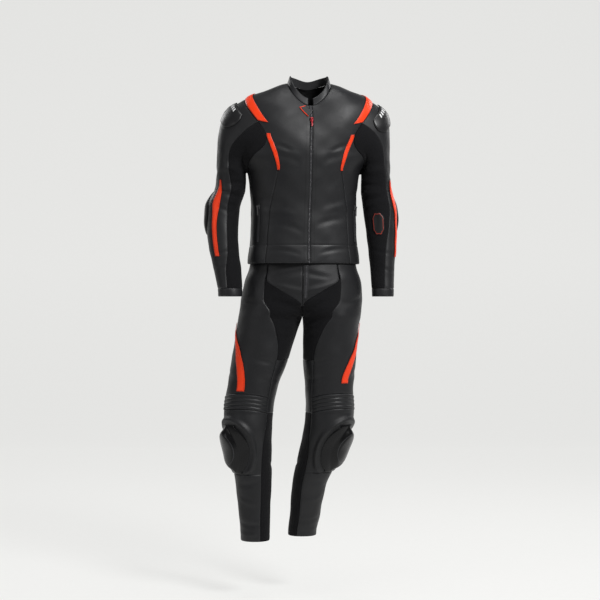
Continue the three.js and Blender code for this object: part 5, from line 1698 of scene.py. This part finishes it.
class SUIT_OT_stage(bpy.types.Operator):
    """Sets up the pale floor and backdrop, the soft lights and the camera"""
    bl_idname = "suit.stage"
    bl_label = "Stage"

    def execute(self, context):
        scene = context.scene
        radius, run, wide = PAPER["bend"], PAPER["run"], PAPER["wide"]
        turns = np.linspace(0, math.pi / 2, 17)
        bend = [(run + radius * math.sin(a), radius * (1 - math.cos(a))) for a in turns]
        profile = [(PAPER["start"], 0.0), (0.0, 0.0), *bend, (run + radius, PAPER["top"])]
        verts = [(x, y, FLOOR + z) for y, z in profile for x in (-wide, wide)]
        faces = [(2 * i, 2 * i + 1, 2 * i + 3, 2 * i + 2) for i in range(len(profile) - 1)]
        mesh = bpy.data.meshes.new("studio_paper")
        mesh.from_pydata(verts, [], faces)
        mesh.polygons.foreach_set("use_smooth", [True] * len(faces))
        mesh.materials.append(stage_material())
        floor = bpy.data.objects.new("studio_paper", mesh)
        scene.collection.objects.link(floor)
        for name, place, size, power in LIGHTS:
            lamp = bpy.data.lights.new(name, "AREA")
            lamp.shape, lamp.size, lamp.energy = "DISK", size, power
            holder = bpy.data.objects.new(name, lamp)
            holder.location = place
            aim = LAMP_AIM - holder.location
            holder.rotation_euler = aim.to_track_quat("-Z", "Y").to_euler()
            scene.collection.objects.link(holder)
        world = bpy.data.worlds.new("Studio air")
        world.use_nodes = True
        air = world.node_tree.nodes["Background"].inputs
        air["Color"].default_value = (1.0, 1.0, 1.0, 1.0)
        air["Strength"].default_value = AIR_GLOW
        scene.world = world
        camera = bpy.data.cameras.new("Studio camera")
        camera.lens, camera.sensor_width = LENS, 36.0
        stand = bpy.data.objects.new("Studio camera", camera)
        stand.location = VIEW_CENTRE - Vector((0, VIEW_DISTANCE, 0))
        stand.rotation_euler = (math.pi / 2, 0, 0)
        scene.collection.objects.link(stand)
        scene.camera = stand
        scene.view_settings.view_transform = "Standard"
        return {"FINISHED"}


PIECE_OPERATORS = (SUIT_OT_jacket_body, SUIT_OT_collar, SUIT_OT_sleeves, SUIT_OT_armour, SUIT_OT_trims,
                   SUIT_OT_trousers, SUIT_OT_knees, SUIT_OT_zips, SUIT_OT_stage)


class SUIT_PT_panel(bpy.types.Panel):
    """Lists the suit's sizes, colours and pieces"""
    bl_idname = "SUIT_PT_panel"
    bl_label = "Race suit"
    bl_space_type = "VIEW_3D"
    bl_region_type = "UI"
    bl_category = "Race suit"

    def draw(self, context):
        for group in (context.scene.suit_sizes, context.scene.suit_colours):
            box = self.layout.box()
            for name in group.__annotations__:
                box.prop(group, name)
        for operator in PIECE_OPERATORS:
            self.layout.operator(operator.bl_idname)


CLASSES = (SuitSizes, SuitColours, *PIECE_OPERATORS, SUIT_PT_panel)


def register():
    for made in CLASSES:
        bpy.utils.register_class(made)
    bpy.types.Scene.suit_sizes = bpy.props.PointerProperty(type=SuitSizes)
    bpy.types.Scene.suit_colours = bpy.props.PointerProperty(type=SuitColours)


def unregister():
    del bpy.types.Scene.suit_colours
    del bpy.types.Scene.suit_sizes
    for made in reversed(CLASSES):
        bpy.utils.unregister_class(made)


def main():
    register()
    for operator in PIECE_OPERATORS:
        group, name = operator.bl_idname.split(".")
        getattr(getattr(bpy.ops, group), name)()


if __name__ == "__main__":
    main()
